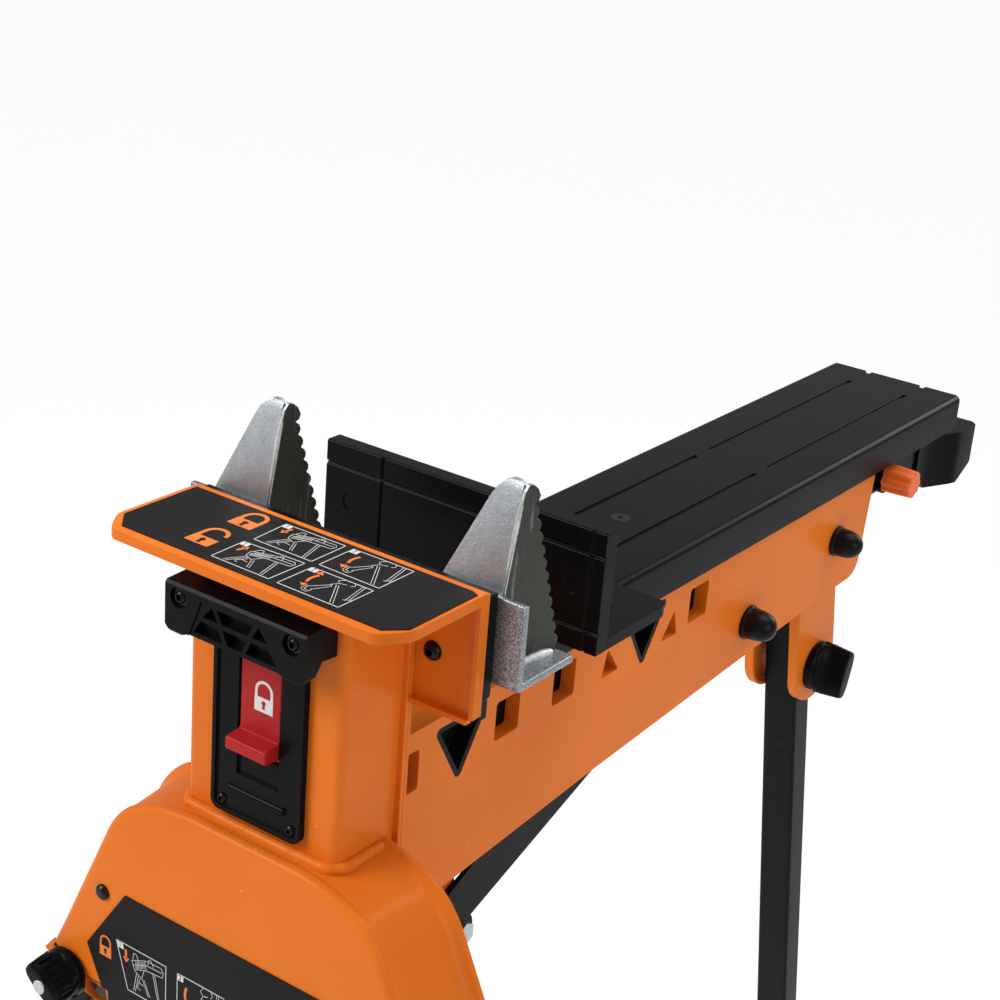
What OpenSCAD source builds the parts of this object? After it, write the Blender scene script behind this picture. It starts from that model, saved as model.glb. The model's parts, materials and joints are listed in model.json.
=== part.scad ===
// Portable clamping workbench on three legs, worked by a foot pedal.
// Millimetres. X to the right, Y towards the tail, Z up, floor at Z = 0.
// The head with the fixed jaw is at -Y and the sliding jaw runs along Y.

/* [Stand] */

// Height of the head's top face above the floor
stand_height = 960; // [900:5:1000]
// Front leg angle from upright
front_splay = 23; // [21:0.5:24]
// Rear leg angle from upright
rear_splay = 12.25; // [10:0.25:14]
// Width of the leg tube
leg_tube_width = 26; // [24:1:27]
// Depth of the leg tube
leg_tube_depth = 21.5; // [18:0.5:22]
// Wall of the leg tube
leg_tube_wall = 1.8; // [1.2:0.2:2.6]
// Height of the rubber feet
foot_height = 42; // [34:1:52]

/* [Head] */

// Width of the head's top plate
head_width = 180; // [170:1:190]
// Depth of the head's top plate, front to back
head_depth = 67; // [64:1:72]
// Drop of the back plate below the top face
head_drop = 67.5; // [60:0.5:72]
// Thickness of the fixed jaw pad
pad_thickness = 6.5; // [5:0.5:9]

/* [Column] */

// Width of the column
column_width = 97; // [92:1:98]
// Depth of the column
column_depth = 42; // [38:1:44]
// Width of the turned-out flange behind the column
flange_width = 104.4; // [102:0.2:110]

/* [Beam] */

// Width of the beam over its side plates
beam_width = 96; // [92:1:97]
// Length of the beam
beam_length = 514; // [505:1:530]
// Drop of the beam's top face below the head
beam_drop = 91; // [88:1:92]
// Depth of the beam at its front end
beam_front_depth = 106.5; // [98:0.5:112]
// Depth of the beam at its rear end
beam_rear_depth = 76.4; // [72:0.2:80]

/* [Slide] */

// Width of the sliding tray
tray_width = 102.4; // [101:0.2:108]
// Drop of the tray's top face below the head
tray_drop = 68.3; // [67:0.1:69]
// Rear end of the tray at rest
tray_end = 637; // [620:1:650]
// Width of the moving jaw
jaw_width = 180; // [170:1:190]
// Height of the moving jaw
jaw_height = 66.8; // [62:0.2:67.2]
// Thickness of the moving jaw
jaw_thickness = 10.2; // [8:0.2:12]
// Gap between the jaw faces at rest
jaw_gap = 90.8; // [86:0.2:100]
// Depth of the shelf behind the moving jaw
shelf_depth = 60; // [50:1:64]

/* [Log jaws] */

// Width of a log jaw bracket
bracket_width = 64; // [58:1:70]
// Height of a log jaw bracket
bracket_height = 44; // [40:1:50]
// Reach of a log jaw bracket's lower flange
bracket_reach = 41.5; // [39:0.5:44]
// Height of a log jaw blade above the head
blade_rise = 47; // [40:1:54]
// Number of teeth on a log jaw blade
blade_teeth = 11; // [8:1:14]

/* [Pedal] */

// Distance of the pedal pad in front of the fixed jaw
pedal_reach = 240; // [215:5:260]
// Height of the pedal pad above the floor at rest
pedal_height = 160; // [140:5:180]
// Width of the pedal pad
pedal_width = 120; // [100:5:140]

/* [Hidden] */

sheet = 2.5;
eps = 0.05;
run = 0.05;
head_y0 = -head_depth;
back_y = 1;
pad_y = back_y + sheet;
jaw_face = pad_y + pad_thickness;
col_y1 = back_y - 2 * sheet;
col_r = 5;
lip = 5.4;
col_y0 = col_y1 - column_depth;
jaw_y = jaw_face + jaw_gap;
tray_y0 = jaw_y + jaw_thickness + 0.05;
jaw_top = -1.7;
jaw_bottom = jaw_top - jaw_height;
skirt_drop = beam_drop + 2;
apron_y0 = -60;
apron_y1 = -10;
apron_k = 1.06;
leg_pivot_x = 92;
leg_pivot_z = -210;
leg_knob_r = 65;
leg_y = -33;
rear_pivot_y = beam_length + 7;
rear_pivot_z = -252;
lever_y = 97;
lever_z = -261;
pawl_y = 246;
pawl_z = -172;
lever_in = 21;
pedal_z = pedal_height - stand_height;
pedal_y = -pedal_reach;
roller_f = 352;
roller_r = 436;
axle_f = [roller_f - 1, -150];
axle_r = [beam_length - 48, -130];
roller_z = -beam_drop - 8.2;
roller_rad = 9.5;
knob_y = beam_length + 29;
knob_z = -106.8;
tail_y0 = beam_length + 86;
tail_y1 = tail_y0 + 73;
screw_x = flange_width / 2 + 9.8;
rear_len = (stand_height + rear_pivot_z) / cos(rear_splay);
rear_foot_y = rear_pivot_y + (stand_height + rear_pivot_z) * tan(rear_splay);
y_back = rear_foot_y + (leg_tube_depth / 2 + 3.5) / cos(rear_splay);
y_front = pedal_y - 42;
y_mid = (y_front + y_back) / 2;
leg_len = (stand_height + leg_pivot_z) / cos(front_splay);
$fn = 24;

module place() {
    translate([0, -y_mid, stand_height]) children();
}

module box(lo, hi) {
    translate(lo) cube(hi - lo);
}

// A flat shape given in Y and Z, with its thickness along X
module yz(x0, x1) {
    translate([x0, 0, 0]) rotate([90, 0, 90]) linear_extrude(x1 - x0) children();
}

// A flat shape given in X and Z, with its thickness along Y
module xz(y0, y1) {
    translate([0, y1, 0]) rotate([90, 0, 0]) linear_extrude(y1 - y0) children();
}

// A rod along X
module rod_x(x0, x1, y, z, r, n = 24) {
    translate([x0, y, z]) rotate([0, 90, 0]) cylinder(h = x1 - x0, r = r, $fn = n);
}

// A rod along Y
module rod_y(y0, y1, x, z, r, n = 24) {
    translate([x, y1, z]) rotate([90, 0, 0]) cylinder(h = y1 - y0, r = r, $fn = n);
}

module rounded(w, h, r) {
    offset(r = r, $fn = 16) square([w - 2 * r, h - 2 * r], center = true);
}

module both() {
    children();
    mirror([1, 0, 0]) children();
}

// Outlines

function apron_half() = [
    [0, -142], [36, -142], [66, -149.5], [79, -156], [88, -167],
    [130.6, -260], [129, -262.4], [125.8, -262.8], [118.8, -260.6], [112.5, -264.3], [108, -271.2],
    [105.6, -277.4], [99.3, -281], [94, -286], [80, -330], [0, -330]
];

module apron_outline() {
    polygon(apron_half());
    mirror([1, 0]) polygon(apron_half());
}

module apron_rim() {
    h = [
        [0, -142], [36, -142], [66, -148.5], [79, -154.5], [88, -167], [130.6, -260],
        [104, -281], [94, -286], [80, -326], [0, -326]
    ];
    polygon(h);
    mirror([1, 0]) polygon(h);
}

module square_hole(y) {
    translate([y + 10.5, -beam_drop - 22.3]) rounded(21, 22.4, 2);
}

module vee_hole(y) {
    offset(r = 3, $fn = 12) polygon([
        [y - 17.6, -beam_drop - 9.4], [y + 17.6, -beam_drop - 9.4], [y, -beam_drop - 38.2]
    ]);
}

module tri_hole(y, s) {
    offset(r = 1, $fn = 8) polygon([
        [y + s * 37.6, -beam_drop - 34], [y + s * 34, -beam_drop - 20.5], [y + s * 23.4, -beam_drop - 34]
    ]);
}

module plain_holes() {
    for (y = [-6, 79, 131.2, 272.6]) square_hole(y);
    tri_hole(219, -1);
    tri_hole(221.2, 1);
}

module vee_holes() {
    vee_hole(49);
    vee_hole(223.5);
}

module beam_outline() {
    y1 = beam_length;
    zr = -beam_drop - beam_rear_depth;
    zm = zr - 16.7 * (beam_front_depth - beam_rear_depth) / 30.1;
    polygon([
        [back_y, -beam_drop], [y1 - 4, -beam_drop], [y1, -beam_drop - 6], [y1 - 6.2, zr + 12.4],
        [y1 - 7.4, zr + 8], [y1 - 10, zr + 4.4], [y1 - 14, zr + 1.8], [y1 - 19, zr + 0.4],
        [y1 - 34, zr], [181, zm], [back_y, -beam_drop - beam_front_depth]
    ]);
}

// Head

module column_section(grow) {
    w = column_width / 2 + grow;
    y0 = col_y0 - grow;
    r = col_r + grow;
    translate([-w + r, y0 + r]) circle(r = r, $fn = 32);
    translate([w - r, y0 + r]) circle(r = r, $fn = 32);
    translate([-w + r, y0]) square([2 * (w - r), 30]);
    translate([-w, y0 + r]) square([2 * w, col_y1 + sheet - y0 - r]);
}

module column() color("darkorange") place() {
    difference() {
        translate([0, 0, -lip]) mirror([0, 0, 1]) linear_extrude(150) {
            difference() {
                column_section(0);
                translate([0, eps]) column_section(-sheet);
            }
            for (x = [column_width / 2 - 1, -flange_width / 2]) translate([x, col_y1])
                square([(flange_width - column_width) / 2 + 1, sheet]);
        }
        apron_solid(0);
        box([-17, col_y0 - 1, -131], [17, col_y0 + 4, -8]);
    }
}

module column_back() color("darkorange") place() {
    difference() {
        xz(back_y - sheet, back_y) polygon([
            [-flange_width / 2, -lip], [flange_width / 2, -lip], [flange_width / 2, -205],
            [30, -240], [-30, -240], [-flange_width / 2, -205]
        ]);
        box([-7, -20, -140], [7, back_y + 1, -80]);
    }
}

module head_outline(side, front) {
    w = head_width / 2 - side;
    y0 = head_y0 + front;
    polygon([
        [-w, back_y], [w, back_y], [w, head_y0 + 14 + side * 0.3], [w - 10 + front * 0.2, y0],
        [-w + 10 - front * 0.2, y0], [-w, head_y0 + 14 + side * 0.3]
    ]);
}

module head_layer(z, side0, front0, h, side1, front1) {
    hull() {
        translate([0, 0, z]) linear_extrude(0.01) head_outline(side0, front0);
        translate([0, 0, z + h - 0.01]) linear_extrude(0.01) head_outline(side1, front1);
    }
}

module head_shell() color("darkorange") place() {
    difference() {
        union() {
            head_layer(-1, 0.7, 2, 1, 1.6, 4.4);
            head_layer(-2.6, 0, 0.4, 1.61, 0.7, 2);
            translate([0, 0, -lip]) linear_extrude(lip - 2.59) head_outline(0, 0.3);
        }
        translate([0, 0, -8]) linear_extrude(5.5) difference() {
            head_outline(sheet, sheet);
            translate([-200, back_y]) square([400, 10]);
        }
    }
}

// Back plate with its edges turned forwards
module head_back() color("darkorange") place() {
    w = head_width / 2;
    difference() {
        xz(back_y, pad_y) polygon([
            [-w, -0.8], [w, -0.8], [w, 4 - head_drop], [w - 4, -head_drop],
            [4 - w, -head_drop], [-w, 4 - head_drop]
        ]);
        for (x = [-screw_x, screw_x]) rod_y(back_y - 1, pad_y + 1, x, -38.5, 2.5);
    }
    both() {
        box([w - sheet, back_y - 4, 4 - head_drop], [w, back_y + eps, -lip]);
        xz(back_y - 4, back_y + eps) translate([flange_width / 2 + 0.2, -head_drop])
            square([w - 4 - flange_width / 2, sheet]);
    }
}

module top_panel() color("dimgray") place() {
    w = head_width / 2;
    linear_extrude(0.6) polygon([
        [3.2 - w, -2.2], [w - 6, -2.2], [w - 1.8, -4], [w - 1.8, head_y0 + 14], [w - 10.4, head_y0 + 4.8],
        [12.6 - w, head_y0 + 4.8], [3.2 - w, head_y0 + 15.5]
    ]);
}

module jaw_pad() color("dimgray") place() {
    w = head_width / 2;
    difference() {
        xz(pad_y, jaw_face) polygon([
            [-w, -2.4], [w, -2.4], [w, 12 - head_drop], [w - 1.2, 10 - head_drop],
            [w - 1.2, -head_drop], [1.2 - w, -head_drop], [1.2 - w, 10 - head_drop], [-w, 12 - head_drop]
        ]);
        for (z = [-15, 10.5 - head_drop]) translate([0, jaw_face, z]) rotate([45, 0, 0])
            cube([head_width + 10, 1.6, 1.6], center = true);
        for (x = [-screw_x, screw_x]) rod_y(pad_y - 1, pad_y + 4, x, -38.5, 2.5);
    }
}

module head_screws() color("dimgray") place() {
    for (x = [-screw_x, screw_x]) difference() {
        union() {
            translate([x, back_y, -38.5]) rotate([90, 0, 0])
                rotate_extrude($fn = 24) polygon([[0, 0], [5, 0], [5, 1.6], [4.2, 2.8], [0, 3.4]]);
            rod_y(back_y - 0.1, pad_y + 3.5, x, -38.5, 2.48);
        }
        rod_y(back_y - 4, back_y - 1.6, x, -38.5, 1.8, 6);
    }
}

// Log jaws

module log_bracket(x) {
    zb = -5 - bracket_height;
    yz(x, x + bracket_width) polygon([
        [jaw_face, -5], [jaw_face + 3.6, -5], [jaw_face + 3.6, zb + 4],
        [jaw_face + 3.6 + bracket_reach, zb + 4], [jaw_face + 3.6 + bracket_reach, zb],
        [jaw_face, zb]
    ]);
}

function tooth_edge(n, a, b) = [for (i = [0:n * 4]) let (t = i / (n * 4), k = i % 4)
    a + (b - a) * t + [k == 0 ? 0 : (k == 2 ? 2.2 : 1.7), 0]];

module log_blade(x) {
    zb = -1 - bracket_height;
    y0 = jaw_face + 3.6 + eps;
    h = blade_rise;
    s = bracket_reach - 4;
    translate([x, y0, 0]) {
        intersection() {
            translate([-36, 0, 0]) rotate([90, 0, 90]) linear_extrude(37.5) polygon([
                [0, zb], [0, -5], [9.5, h - 4], [11, h], [13.6, h + 1.5], [13.6, h - 3], [2.4, -5], [2.4, zb]
            ]);
            translate([0, 30, 0]) rotate([90, 0, 0]) linear_extrude(40) polygon([
                [-33, zb], [1, zb], [1, h - 1], [-2.4, h + 0.6], [-6, h + 0.4], [-9.6, h - 1.4],
                [-12.6, h - 4.6], [-15.4, h - 9.6], [-33, -4]
            ]);
        }
        translate([-1, 0.4, 0]) rotate([0, 0, -9]) yz(0, 2.4) polygon(concat(
            [
                [0, zb], [0, -5], [9.5, h - 4], [12, h - 0.8],
                [15, h - 1.2], [18, h - 3.6], [20, h - 7.4], [19, h - 10]
            ],
            tooth_edge(blade_teeth, [16.8, h - 11], [s + 2, zb + 3]),
            [[s + 2, zb]]
        ));
    }
}

log_x = head_width / 2 - 48.6;
log_step = head_width * 0.8033;

module log_bracket_r() color("silver") place() log_bracket(log_x);
module log_bracket_l() color("silver") place() log_bracket(log_x - log_step);
module log_blade_r() color("silver") place() log_blade(log_x + 47);
module log_blade_l() color("silver") place() log_blade(log_x + 47 - log_step);

// Lock switch

module switch_plate() color("dimgray") place() {
    yf = col_y0;
    difference() {
        union() {
            xz(yf - 2.6, yf) translate([0, -86.2]) rounded(57, 100.4, 5);
            xz(yf - 4, yf - 2.5) translate([0, -86.2]) difference() {
                rounded(57, 100.4, 5);
                rounded(52, 95.4, 4);
            }
            rod_x(-17, 17, yf - 2.4, -122, 2.2, 16);
        }
        box([-13.2, yf - 8, -100.2], [13.2, yf + 1, -30]);
        box([-13.2, yf - 8, -113], [13.2, yf - 1, -100]);
    }
}

module plate_screws() color("dimgray") place() {
    for (x = [-22, 22]) difference() {
        rod_y(col_y0 - 4.4, col_y0 - 2.6, x, -130.4, 2.9, 20);
        rod_y(col_y0 - 5, col_y0 - 3.6, x, -130.4, 1.6, 6);
    }
}

module red_slider() color("red") place() {
    yf = col_y0;
    box([-12.6, yf - 1.8, -96], [12.6, yf + 0.5, -42]);
    box([-15.6, yf + 0.4, -99], [15.6, yf + 2.6, -38]);
    yz(-12.6, 12.6) polygon([
        [yf - 1.7, -88], [yf - 11, -88.4], [yf - 13, -90], [yf - 13, -94], [yf - 11, -96], [yf - 1.7, -96]
    ]);
    box([-5, yf + 2.5, -97], [5, yf + 8, -50]);
}

module guard() color("dimgray") place() {
    yf = col_y0 - 22;
    difference() {
        intersection() {
            yz(-43, 43) polygon([
                [yf + 1.2, -14], [col_y0, -13], [col_y0, -31.2], [col_y0 - 10, -30.4], [yf + 6, -38.5],
                [yf + 4, -40], [yf + 1, -40], [yf, -38.5], [yf, -15.4]
            ]);
            xz(yf - 1, col_y0 + 1) polygon([
                [-43, -10], [43, -10], [43, -36.4], [40, -39.5], [33, -39.8], [29, -37.8],
                [-29, -37.8], [-33, -39.8], [-40, -39.5], [-43, -36.4]
            ]);
        }
        // space over the switch
        box([-28.9, col_y0 - 14, -43], [28.9, col_y0 + 1, -15.4]);
        // cells between the ribs
        both() xz(yf - 1, yf + 5) polygon([[14.3, -19.6], [10.4, -26], [19.9, -26]]);
        xz(yf - 1, yf + 5) polygon([[-11.4, -19.6], [11.4, -19.6], [7.8, -26], [-7.8, -26]]);
        both() xz(yf - 1, yf + 5) polygon([[10, -28.6], [21, -28.6], [25.6, -35.4], [7, -35.4]]);
        xz(yf - 1, yf + 5) polygon([[-7.6, -28.6], [7.6, -28.6], [4.2, -35.4], [-4.2, -35.4]]);
        for (x = [-34.6, 34.6]) rod_y(yf - 1, yf + 2.4, x, -21, 5.2, 20);
        // slanted step between the middle field and the screw lobes
        xz(yf - 1, yf + 0.8) polygon([[-20.4, -18], [20.4, -18], [29.2, -41], [-29.2, -41]]);
    }
}

module guard_screws() color("dimgray") place() {
    yf = col_y0 - 22 + 2.4;
    for (x = [-34.6, 34.6]) difference() {
        union() {
            rod_y(yf - 0.8, yf, x, -21, 4.9, 20);
            rod_y(yf - 2.6, yf - 0.7, x, -21, 3.4, 20);
        }
        rod_y(yf - 3, yf - 1.4, x, -21, 1.8, 6);
    }
}

// Beam

module beam_side() {
    w = beam_width / 2;
    difference() {
        union() {
            yz(w - 2, w) beam_outline();
            yz(w - 9, w - 1.9) intersection() {
                beam_outline();
                difference() {
                    offset(delta = 1.6) plain_holes();
                    plain_holes();
                }
            }
        }
        yz(w - 12, w + 1) {
            plain_holes();
            vee_holes();
        }
        for (a = [axle_f, axle_r]) rod_x(w - 5, w + 1, a[0], a[1], 5 + run);
        // seat of the top plate
        box([0, 0, -beam_drop - 2], [w - 1, beam_length - 4, -beam_drop + 1]);
    }
}

module beam_side_r() color("darkorange") place() beam_side();
module beam_side_l() color("darkorange") place() mirror([1, 0, 0]) beam_side();

module beam_top() color("darkorange") place() {
    w = beam_width / 2;
    difference() {
        box([-w + 1, back_y, -beam_drop - 2], [w - 1, beam_length - 4, -beam_drop]);
        box([-8.5, 60, -beam_drop - 3], [8.5, 325, -beam_drop + 1]);
        for (y = [roller_f, roller_r]) both()
            box([23, y - 8.6, -beam_drop - 3], [35.6, y + 8.6, -beam_drop + 1]);
    }
    both() for (y = [roller_f, roller_r]) difference() {
        yz(36, 38.5) polygon([
            [y - 9, -beam_drop - 1], [y + 9, -beam_drop - 1], [y + 5, roller_z - 5], [y - 5, roller_z - 5]
        ]);
        rod_x(30, 40, y, roller_z, 3 + run);
    }
}

// Dark inner rails seen through the openings
module beam_liner() color("dimgray") place() both()
    yz(beam_width / 2 - 11.6, beam_width / 2 - 10) intersection() {
        offset(delta = -2) beam_outline();
        translate([4, -400]) square([roller_f - 19, 400]);
    }

module vee_bezels() color("dimgray") place() {
    w = beam_width / 2;
    both() yz(w - 10, w - 0.4) difference() {
        offset(delta = -eps) vee_holes();
        offset(delta = -3.2) vee_holes();
    }
}

module roller(y) {
    rod_x(-38.4, 38.4, y, roller_z, 3);
    both() rod_x(24.4, 34.6, y, roller_z, roller_rad, 32);
}

module roller_front() color("white") place() roller(roller_f);
module roller_rear() color("white") place() roller(roller_r);

module axles() color("silver") place()
    for (a = [axle_f, axle_r]) rod_x(-beam_width / 2 - 4, beam_width / 2 + 4, a[0], a[1], 5);

module spacers() color("silver") place() {
    for (a = [axle_f, axle_r]) difference() {
        rod_x(-beam_width / 2 + 2, beam_width / 2 - 2, a[0], a[1], 8);
        rod_x(-beam_width / 2, beam_width / 2, a[0], a[1], 5 + run);
    }
}

module cap(a, k, len) {
    translate([beam_width / 2, a[0], a[1]]) rotate([0, 90, 0]) rotate_extrude($fn = 32) scale([k, len]) polygon([
        [(5 + run) / k, 0], [11, 0], [11, 2.5], [10.3, 3.4], [10, 11], [9, 16], [6.8, 20.4], [3.4, 23],
        [0, 23.8], [0, (4 + run) / len], [(5 + run) / k, (4 + run) / len]
    ]);
}

module caps() color("dimgray") place() both() {
    cap(axle_f, 1, 0.84);
    cap(axle_r, 0.94, 0.8);
}

// Tail

module tail_block() color("dimgray") place() {
    zt = -beam_drop - 6;
    difference() {
        union() {
            box([-40, roller_r + 38, -118], [40, tail_y0 + 1, zt - 1]);
            box([-beam_width / 2 + 2, beam_length - 36, -118], [beam_width / 2 - 2, beam_length - 8, zt - 1]);
            translate([0, 0, zt]) mirror([0, 0, 1]) linear_extrude(40) polygon([
                [-42, tail_y0], [42, tail_y0], [42, tail_y0 + 19], [52, tail_y0 + 40],
                [54, tail_y0 + 46], [54, tail_y1 - 4], [50, tail_y1], [-50, tail_y1],
                [-54, tail_y1 - 4], [-54, tail_y0 + 46], [-52, tail_y0 + 40], [-42, tail_y0 + 19]
            ]);
            both() rod_x(39, 44.3, knob_y, knob_z - 3, 9, 24);
        }
        box([-37, roller_r + 34, -116], [37, tail_y0 - 8, zt - 3]);
        rod_x(36, 50, knob_y, knob_z, 4 + run);
        // finger hollow under the handle
        box([-38, tail_y0 + 12, -150], [38, tail_y0 + 60, -113]);
        // sloping underside
        yz(-60, 60) polygon([
            [tail_y1 + 1, -117], [tail_y1 - 5, -127], [tail_y0 + 48, zt - 40], [tail_y0 - 40, zt - 40.1],
            [tail_y0 - 40, -200], [tail_y1 + 27, -200]
        ]);
        yz(-60, 60) polygon([[tail_y0 - 5, -118.1], [tail_y0 + 19, zt - 41], [tail_y0 - 5, zt - 41]]);
    }
}

module lock_knob() color("darkorange") place() {
    translate([44.8, knob_y, knob_z]) rotate([0, 90, 0]) difference() {
        linear_extrude(20.5, scale = 0.86) union() {
            circle(r = 8.8, $fn = 28);
            for (a = [0:60:300]) rotate(a) translate([8.6, 0]) circle(r = 2.5, $fn = 12);
        }
        translate([0, 0, -1]) cylinder(h = 13, r = 4, $fn = 24);
        translate([0, 0, 18.6]) cylinder(h = 4, r1 = 3.6, r2 = 4.4, $fn = 20);
    }
}

module lock_screw() color("silver") place() rod_x(24, 56.7, knob_y, knob_z, 4 - 0.02);

// Rear leg

module rear_bridge() color("darkorange") place() {
    w = beam_width / 2 - 2;
    box([-w, beam_length - 46, -146], [w, beam_length - 8, -143]);
}

module rear_plate_outline(grow) {
    y0 = rear_pivot_y + 2;
    z0 = rear_pivot_z - 1;
    d = tan(rear_splay) * (-146 - z0);
    hull() {
        translate([y0, z0]) circle(r = 27.4 + grow, $fn = 36);
        polygon([[y0 - d - 27.4 - grow, -146], [y0 - d + 27.4 + grow, -146], [y0, z0]]);
    }
}

module rear_bracket() {
    difference() {
        union() {
            yz(19, 21.5) rear_plate_outline(-0.8);
            yz(14, 20.6) difference() {
                rear_plate_outline(0);
                rear_plate_outline(-sheet);
                translate([400, -148]) square([200, 10]);
            }
        }
        rod_x(10, 25, rear_pivot_y, rear_pivot_z, 4 + run);
    }
}

module rear_bracket_r() color("darkorange") place() rear_bracket();
module rear_bracket_l() color("darkorange") place() mirror([1, 0, 0]) rear_bracket();

module rear_frame() {
    translate([0, rear_pivot_y, rear_pivot_z]) rotate([rear_splay, 0, 0]) children();
}

module tube(w, d, t, z0, z1) {
    translate([0, 0, z0]) linear_extrude(z1 - z0) difference() {
        rounded(w, d, 2.5);
        rounded(w - 2 * t, d - 2 * t, 1.2);
    }
}

module rear_leg() color("dimgray") place() {
    rear_frame() difference() {
        tube(leg_tube_width, leg_tube_depth, leg_tube_wall, -rear_len + 12, 60);
        rod_x(-30, 30, 0, 0, 4 + run);
    }
}

module foot_shape(w, d, len) {
    difference() {
        translate([0, 0, -len - 30]) linear_extrude(foot_height + 30) rounded(w + 7, d + 7, 4);
        translate([0, 0, -len + 12 - eps]) linear_extrude(foot_height) rounded(w + 2 * eps, d + 2 * eps, 2.5);
    }
}

module rear_foot() color("black") place() intersection() {
    rear_frame() foot_shape(leg_tube_width, leg_tube_depth, rear_len);
    box([-60, 0, -stand_height], [60, 2000, 0]);
}

module wing_knob(r, len, bar_l, bar_w, bore) {
    difference() {
        union() {
            cylinder(h = 5, r = r, $fn = 36);
            translate([0, 0, 5]) cylinder(h = 2, r1 = r, r2 = r - 1.6, $fn = 36);
            translate([0, 0, 4]) linear_extrude(len - 4, scale = [0.88, 0.8], slices = 1) polygon([
                [-bar_l / 2, 2 - bar_w / 2], [2 - bar_l / 2, -bar_w / 2], [bar_l / 2 - 2, -bar_w / 2],
                [bar_l / 2, 2 - bar_w / 2], [bar_l / 2, bar_w / 2 - 2], [bar_l / 2 - 2, bar_w / 2],
                [2 - bar_l / 2, bar_w / 2], [-bar_l / 2, bar_w / 2 - 2]
            ]);
        }
        translate([0, 0, -1]) cylinder(h = bore + 1, r = 4 + run, $fn = 24);
    }
}

module rear_knob() color("dimgray") place()
    translate([21.8, rear_pivot_y, rear_pivot_z]) rotate([-17, 0, 0]) rotate([0, 90, 0])
        wing_knob(18, 26, 38, 14.4, 21.6);

module rear_bolt() color("silver") place() {
    rod_x(-26, 43, rear_pivot_y, rear_pivot_z, 4);
    rod_x(-27.5, -21.5, rear_pivot_y, rear_pivot_z, 7.5, 6);
}

// Apron and front legs

module arc_slot() {
    translate([leg_pivot_x, leg_pivot_z]) difference() {
        intersection() {
            circle(r = leg_knob_r + 5, $fn = 72);
            polygon([[0, 0], [200, -200 / tan(front_splay + 16)], [0, -300], [-5, -100]]);
        }
        circle(r = leg_knob_r - 5, $fn = 72);
    }
}

module apron_solid(grow) {
    d = apron_y1 - apron_y0;
    translate([0, apron_y0, 0]) rotate([90, 0, 0]) mirror([0, 0, 1])
        linear_extrude(d, scale = [apron_k, 1], slices = 1) offset(delta = grow) apron_outline();
}

module apron() color("darkorange") place() {
    d = apron_y1 - apron_y0;
    difference() {
        union() {
            apron_solid(0);
            xz(apron_y1 - 3, apron_y1) offset(delta = 3.8) scale([apron_k, 1]) apron_rim();
        }
        translate([0, apron_y0 + sheet, 0]) rotate([90, 0, 0]) mirror([0, 0, 1])
            linear_extrude(d, scale = [apron_k, 1], slices = 1) offset(delta = -sheet) apron_outline();
        // the column stands on the rim
        translate([0, 0, -160]) linear_extrude(160) column_section(0.2);
        // the legs leave through the lower corners
        both() box([62, apron_y0 + sheet, -400], [200, 0, -250]);
        both() xz(apron_y0 - 1, apron_y0 + sheet + 1) arc_slot();
        for (x = [-leg_pivot_x, leg_pivot_x])
            rod_y(apron_y0 - 1, apron_y0 + 5, x, leg_pivot_z, 4 + run);
    }
    apron_solid_top();
}

// Top wall under the column
module apron_solid_top() {
    intersection() {
        difference() {
            apron_solid(0);
            translate([0, apron_y0 + sheet, 0]) rotate([90, 0, 0]) mirror([0, 0, 1])
                linear_extrude(60, slices = 1) offset(delta = -sheet) apron_outline();
        }
        box([-60, apron_y0, -150], [60, apron_y1, -140]);
    }
}

module apron_panel() color("dimgray") place() {
    difference() {
        xz(apron_y0 - 0.8, apron_y0) polygon([
            [-76, -205], [76, -205], [103.5, -245.6], [88, -278], [82, -290],
            [-82, -290], [-88, -278], [-103.5, -245.6]
        ]);
        both() xz(apron_y0 - 2, apron_y0 + 1) offset(delta = 1) arc_slot();
    }
}

module leg_plate() color("darkorange") place() {
    k = 1 + (apron_k - 1) * (-17 - apron_y0 - sheet) / (apron_y1 - apron_y0);
    difference() {
        xz(-17, -14.5) intersection() {
            offset(delta = -0.3) scale([k, 1]) offset(delta = -sheet) apron_outline();
            translate([-150, -300]) square([300, 110]);
        }
        both() xz(-18, -14) arc_slot();
        for (x = [-leg_pivot_x, leg_pivot_x])
            rod_y(-20, -10, x, leg_pivot_z, 4 + run);
    }
}

module leg_pivots() color("dimgray") place() {
    for (x = [-leg_pivot_x, leg_pivot_x]) {
        rod_y(apron_y0, -9, x, leg_pivot_z, 4);
        translate([x, apron_y0, leg_pivot_z]) rotate([90, 0, 0])
            rotate_extrude($fn = 24) polygon([[0, 0], [4.4, 0], [4.2, 1.4], [2.8, 2.6], [0, 3]]);
        rod_y(-14.5, -9.5, x, leg_pivot_z, 6.5, 6);
    }
}

module leg_frame() {
    translate([leg_pivot_x, leg_y, leg_pivot_z]) rotate([0, -front_splay, 0]) children();
}

// Trims the top of a leg to a half round about its pivot
module rod_y_cut(r) {
    difference() {
        box([-40, -40, 0], [40, 40, 60]);
        rod_y(-41, 41, 0, 0, r, 40);
    }
}

module front_leg() {
    leg_frame() difference() {
        rotate([0, 0, 90]) tube(leg_tube_width, leg_tube_depth, leg_tube_wall, -leg_len + 12, leg_tube_depth);
        rod_y(-30, 30, 0, 0, 4 + run);
        rod_y(-30, 30, 0, -leg_knob_r, 4 + run);
        rod_y_cut(leg_tube_depth / 2);
    }
}

module front_foot() {
    intersection() {
        leg_frame() rotate([0, 0, 90]) foot_shape(leg_tube_width, leg_tube_depth, leg_len);
        box([0, -100, -stand_height], [1000, 100, 0]);
    }
}

module front_knob() {
    leg_frame() translate([0, apron_y0 - 1.1 - leg_y, -leg_knob_r]) rotate([90, 0, 0]) rotate(15)
        wing_knob(14, 20, 29, 13, 21);
}

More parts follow.
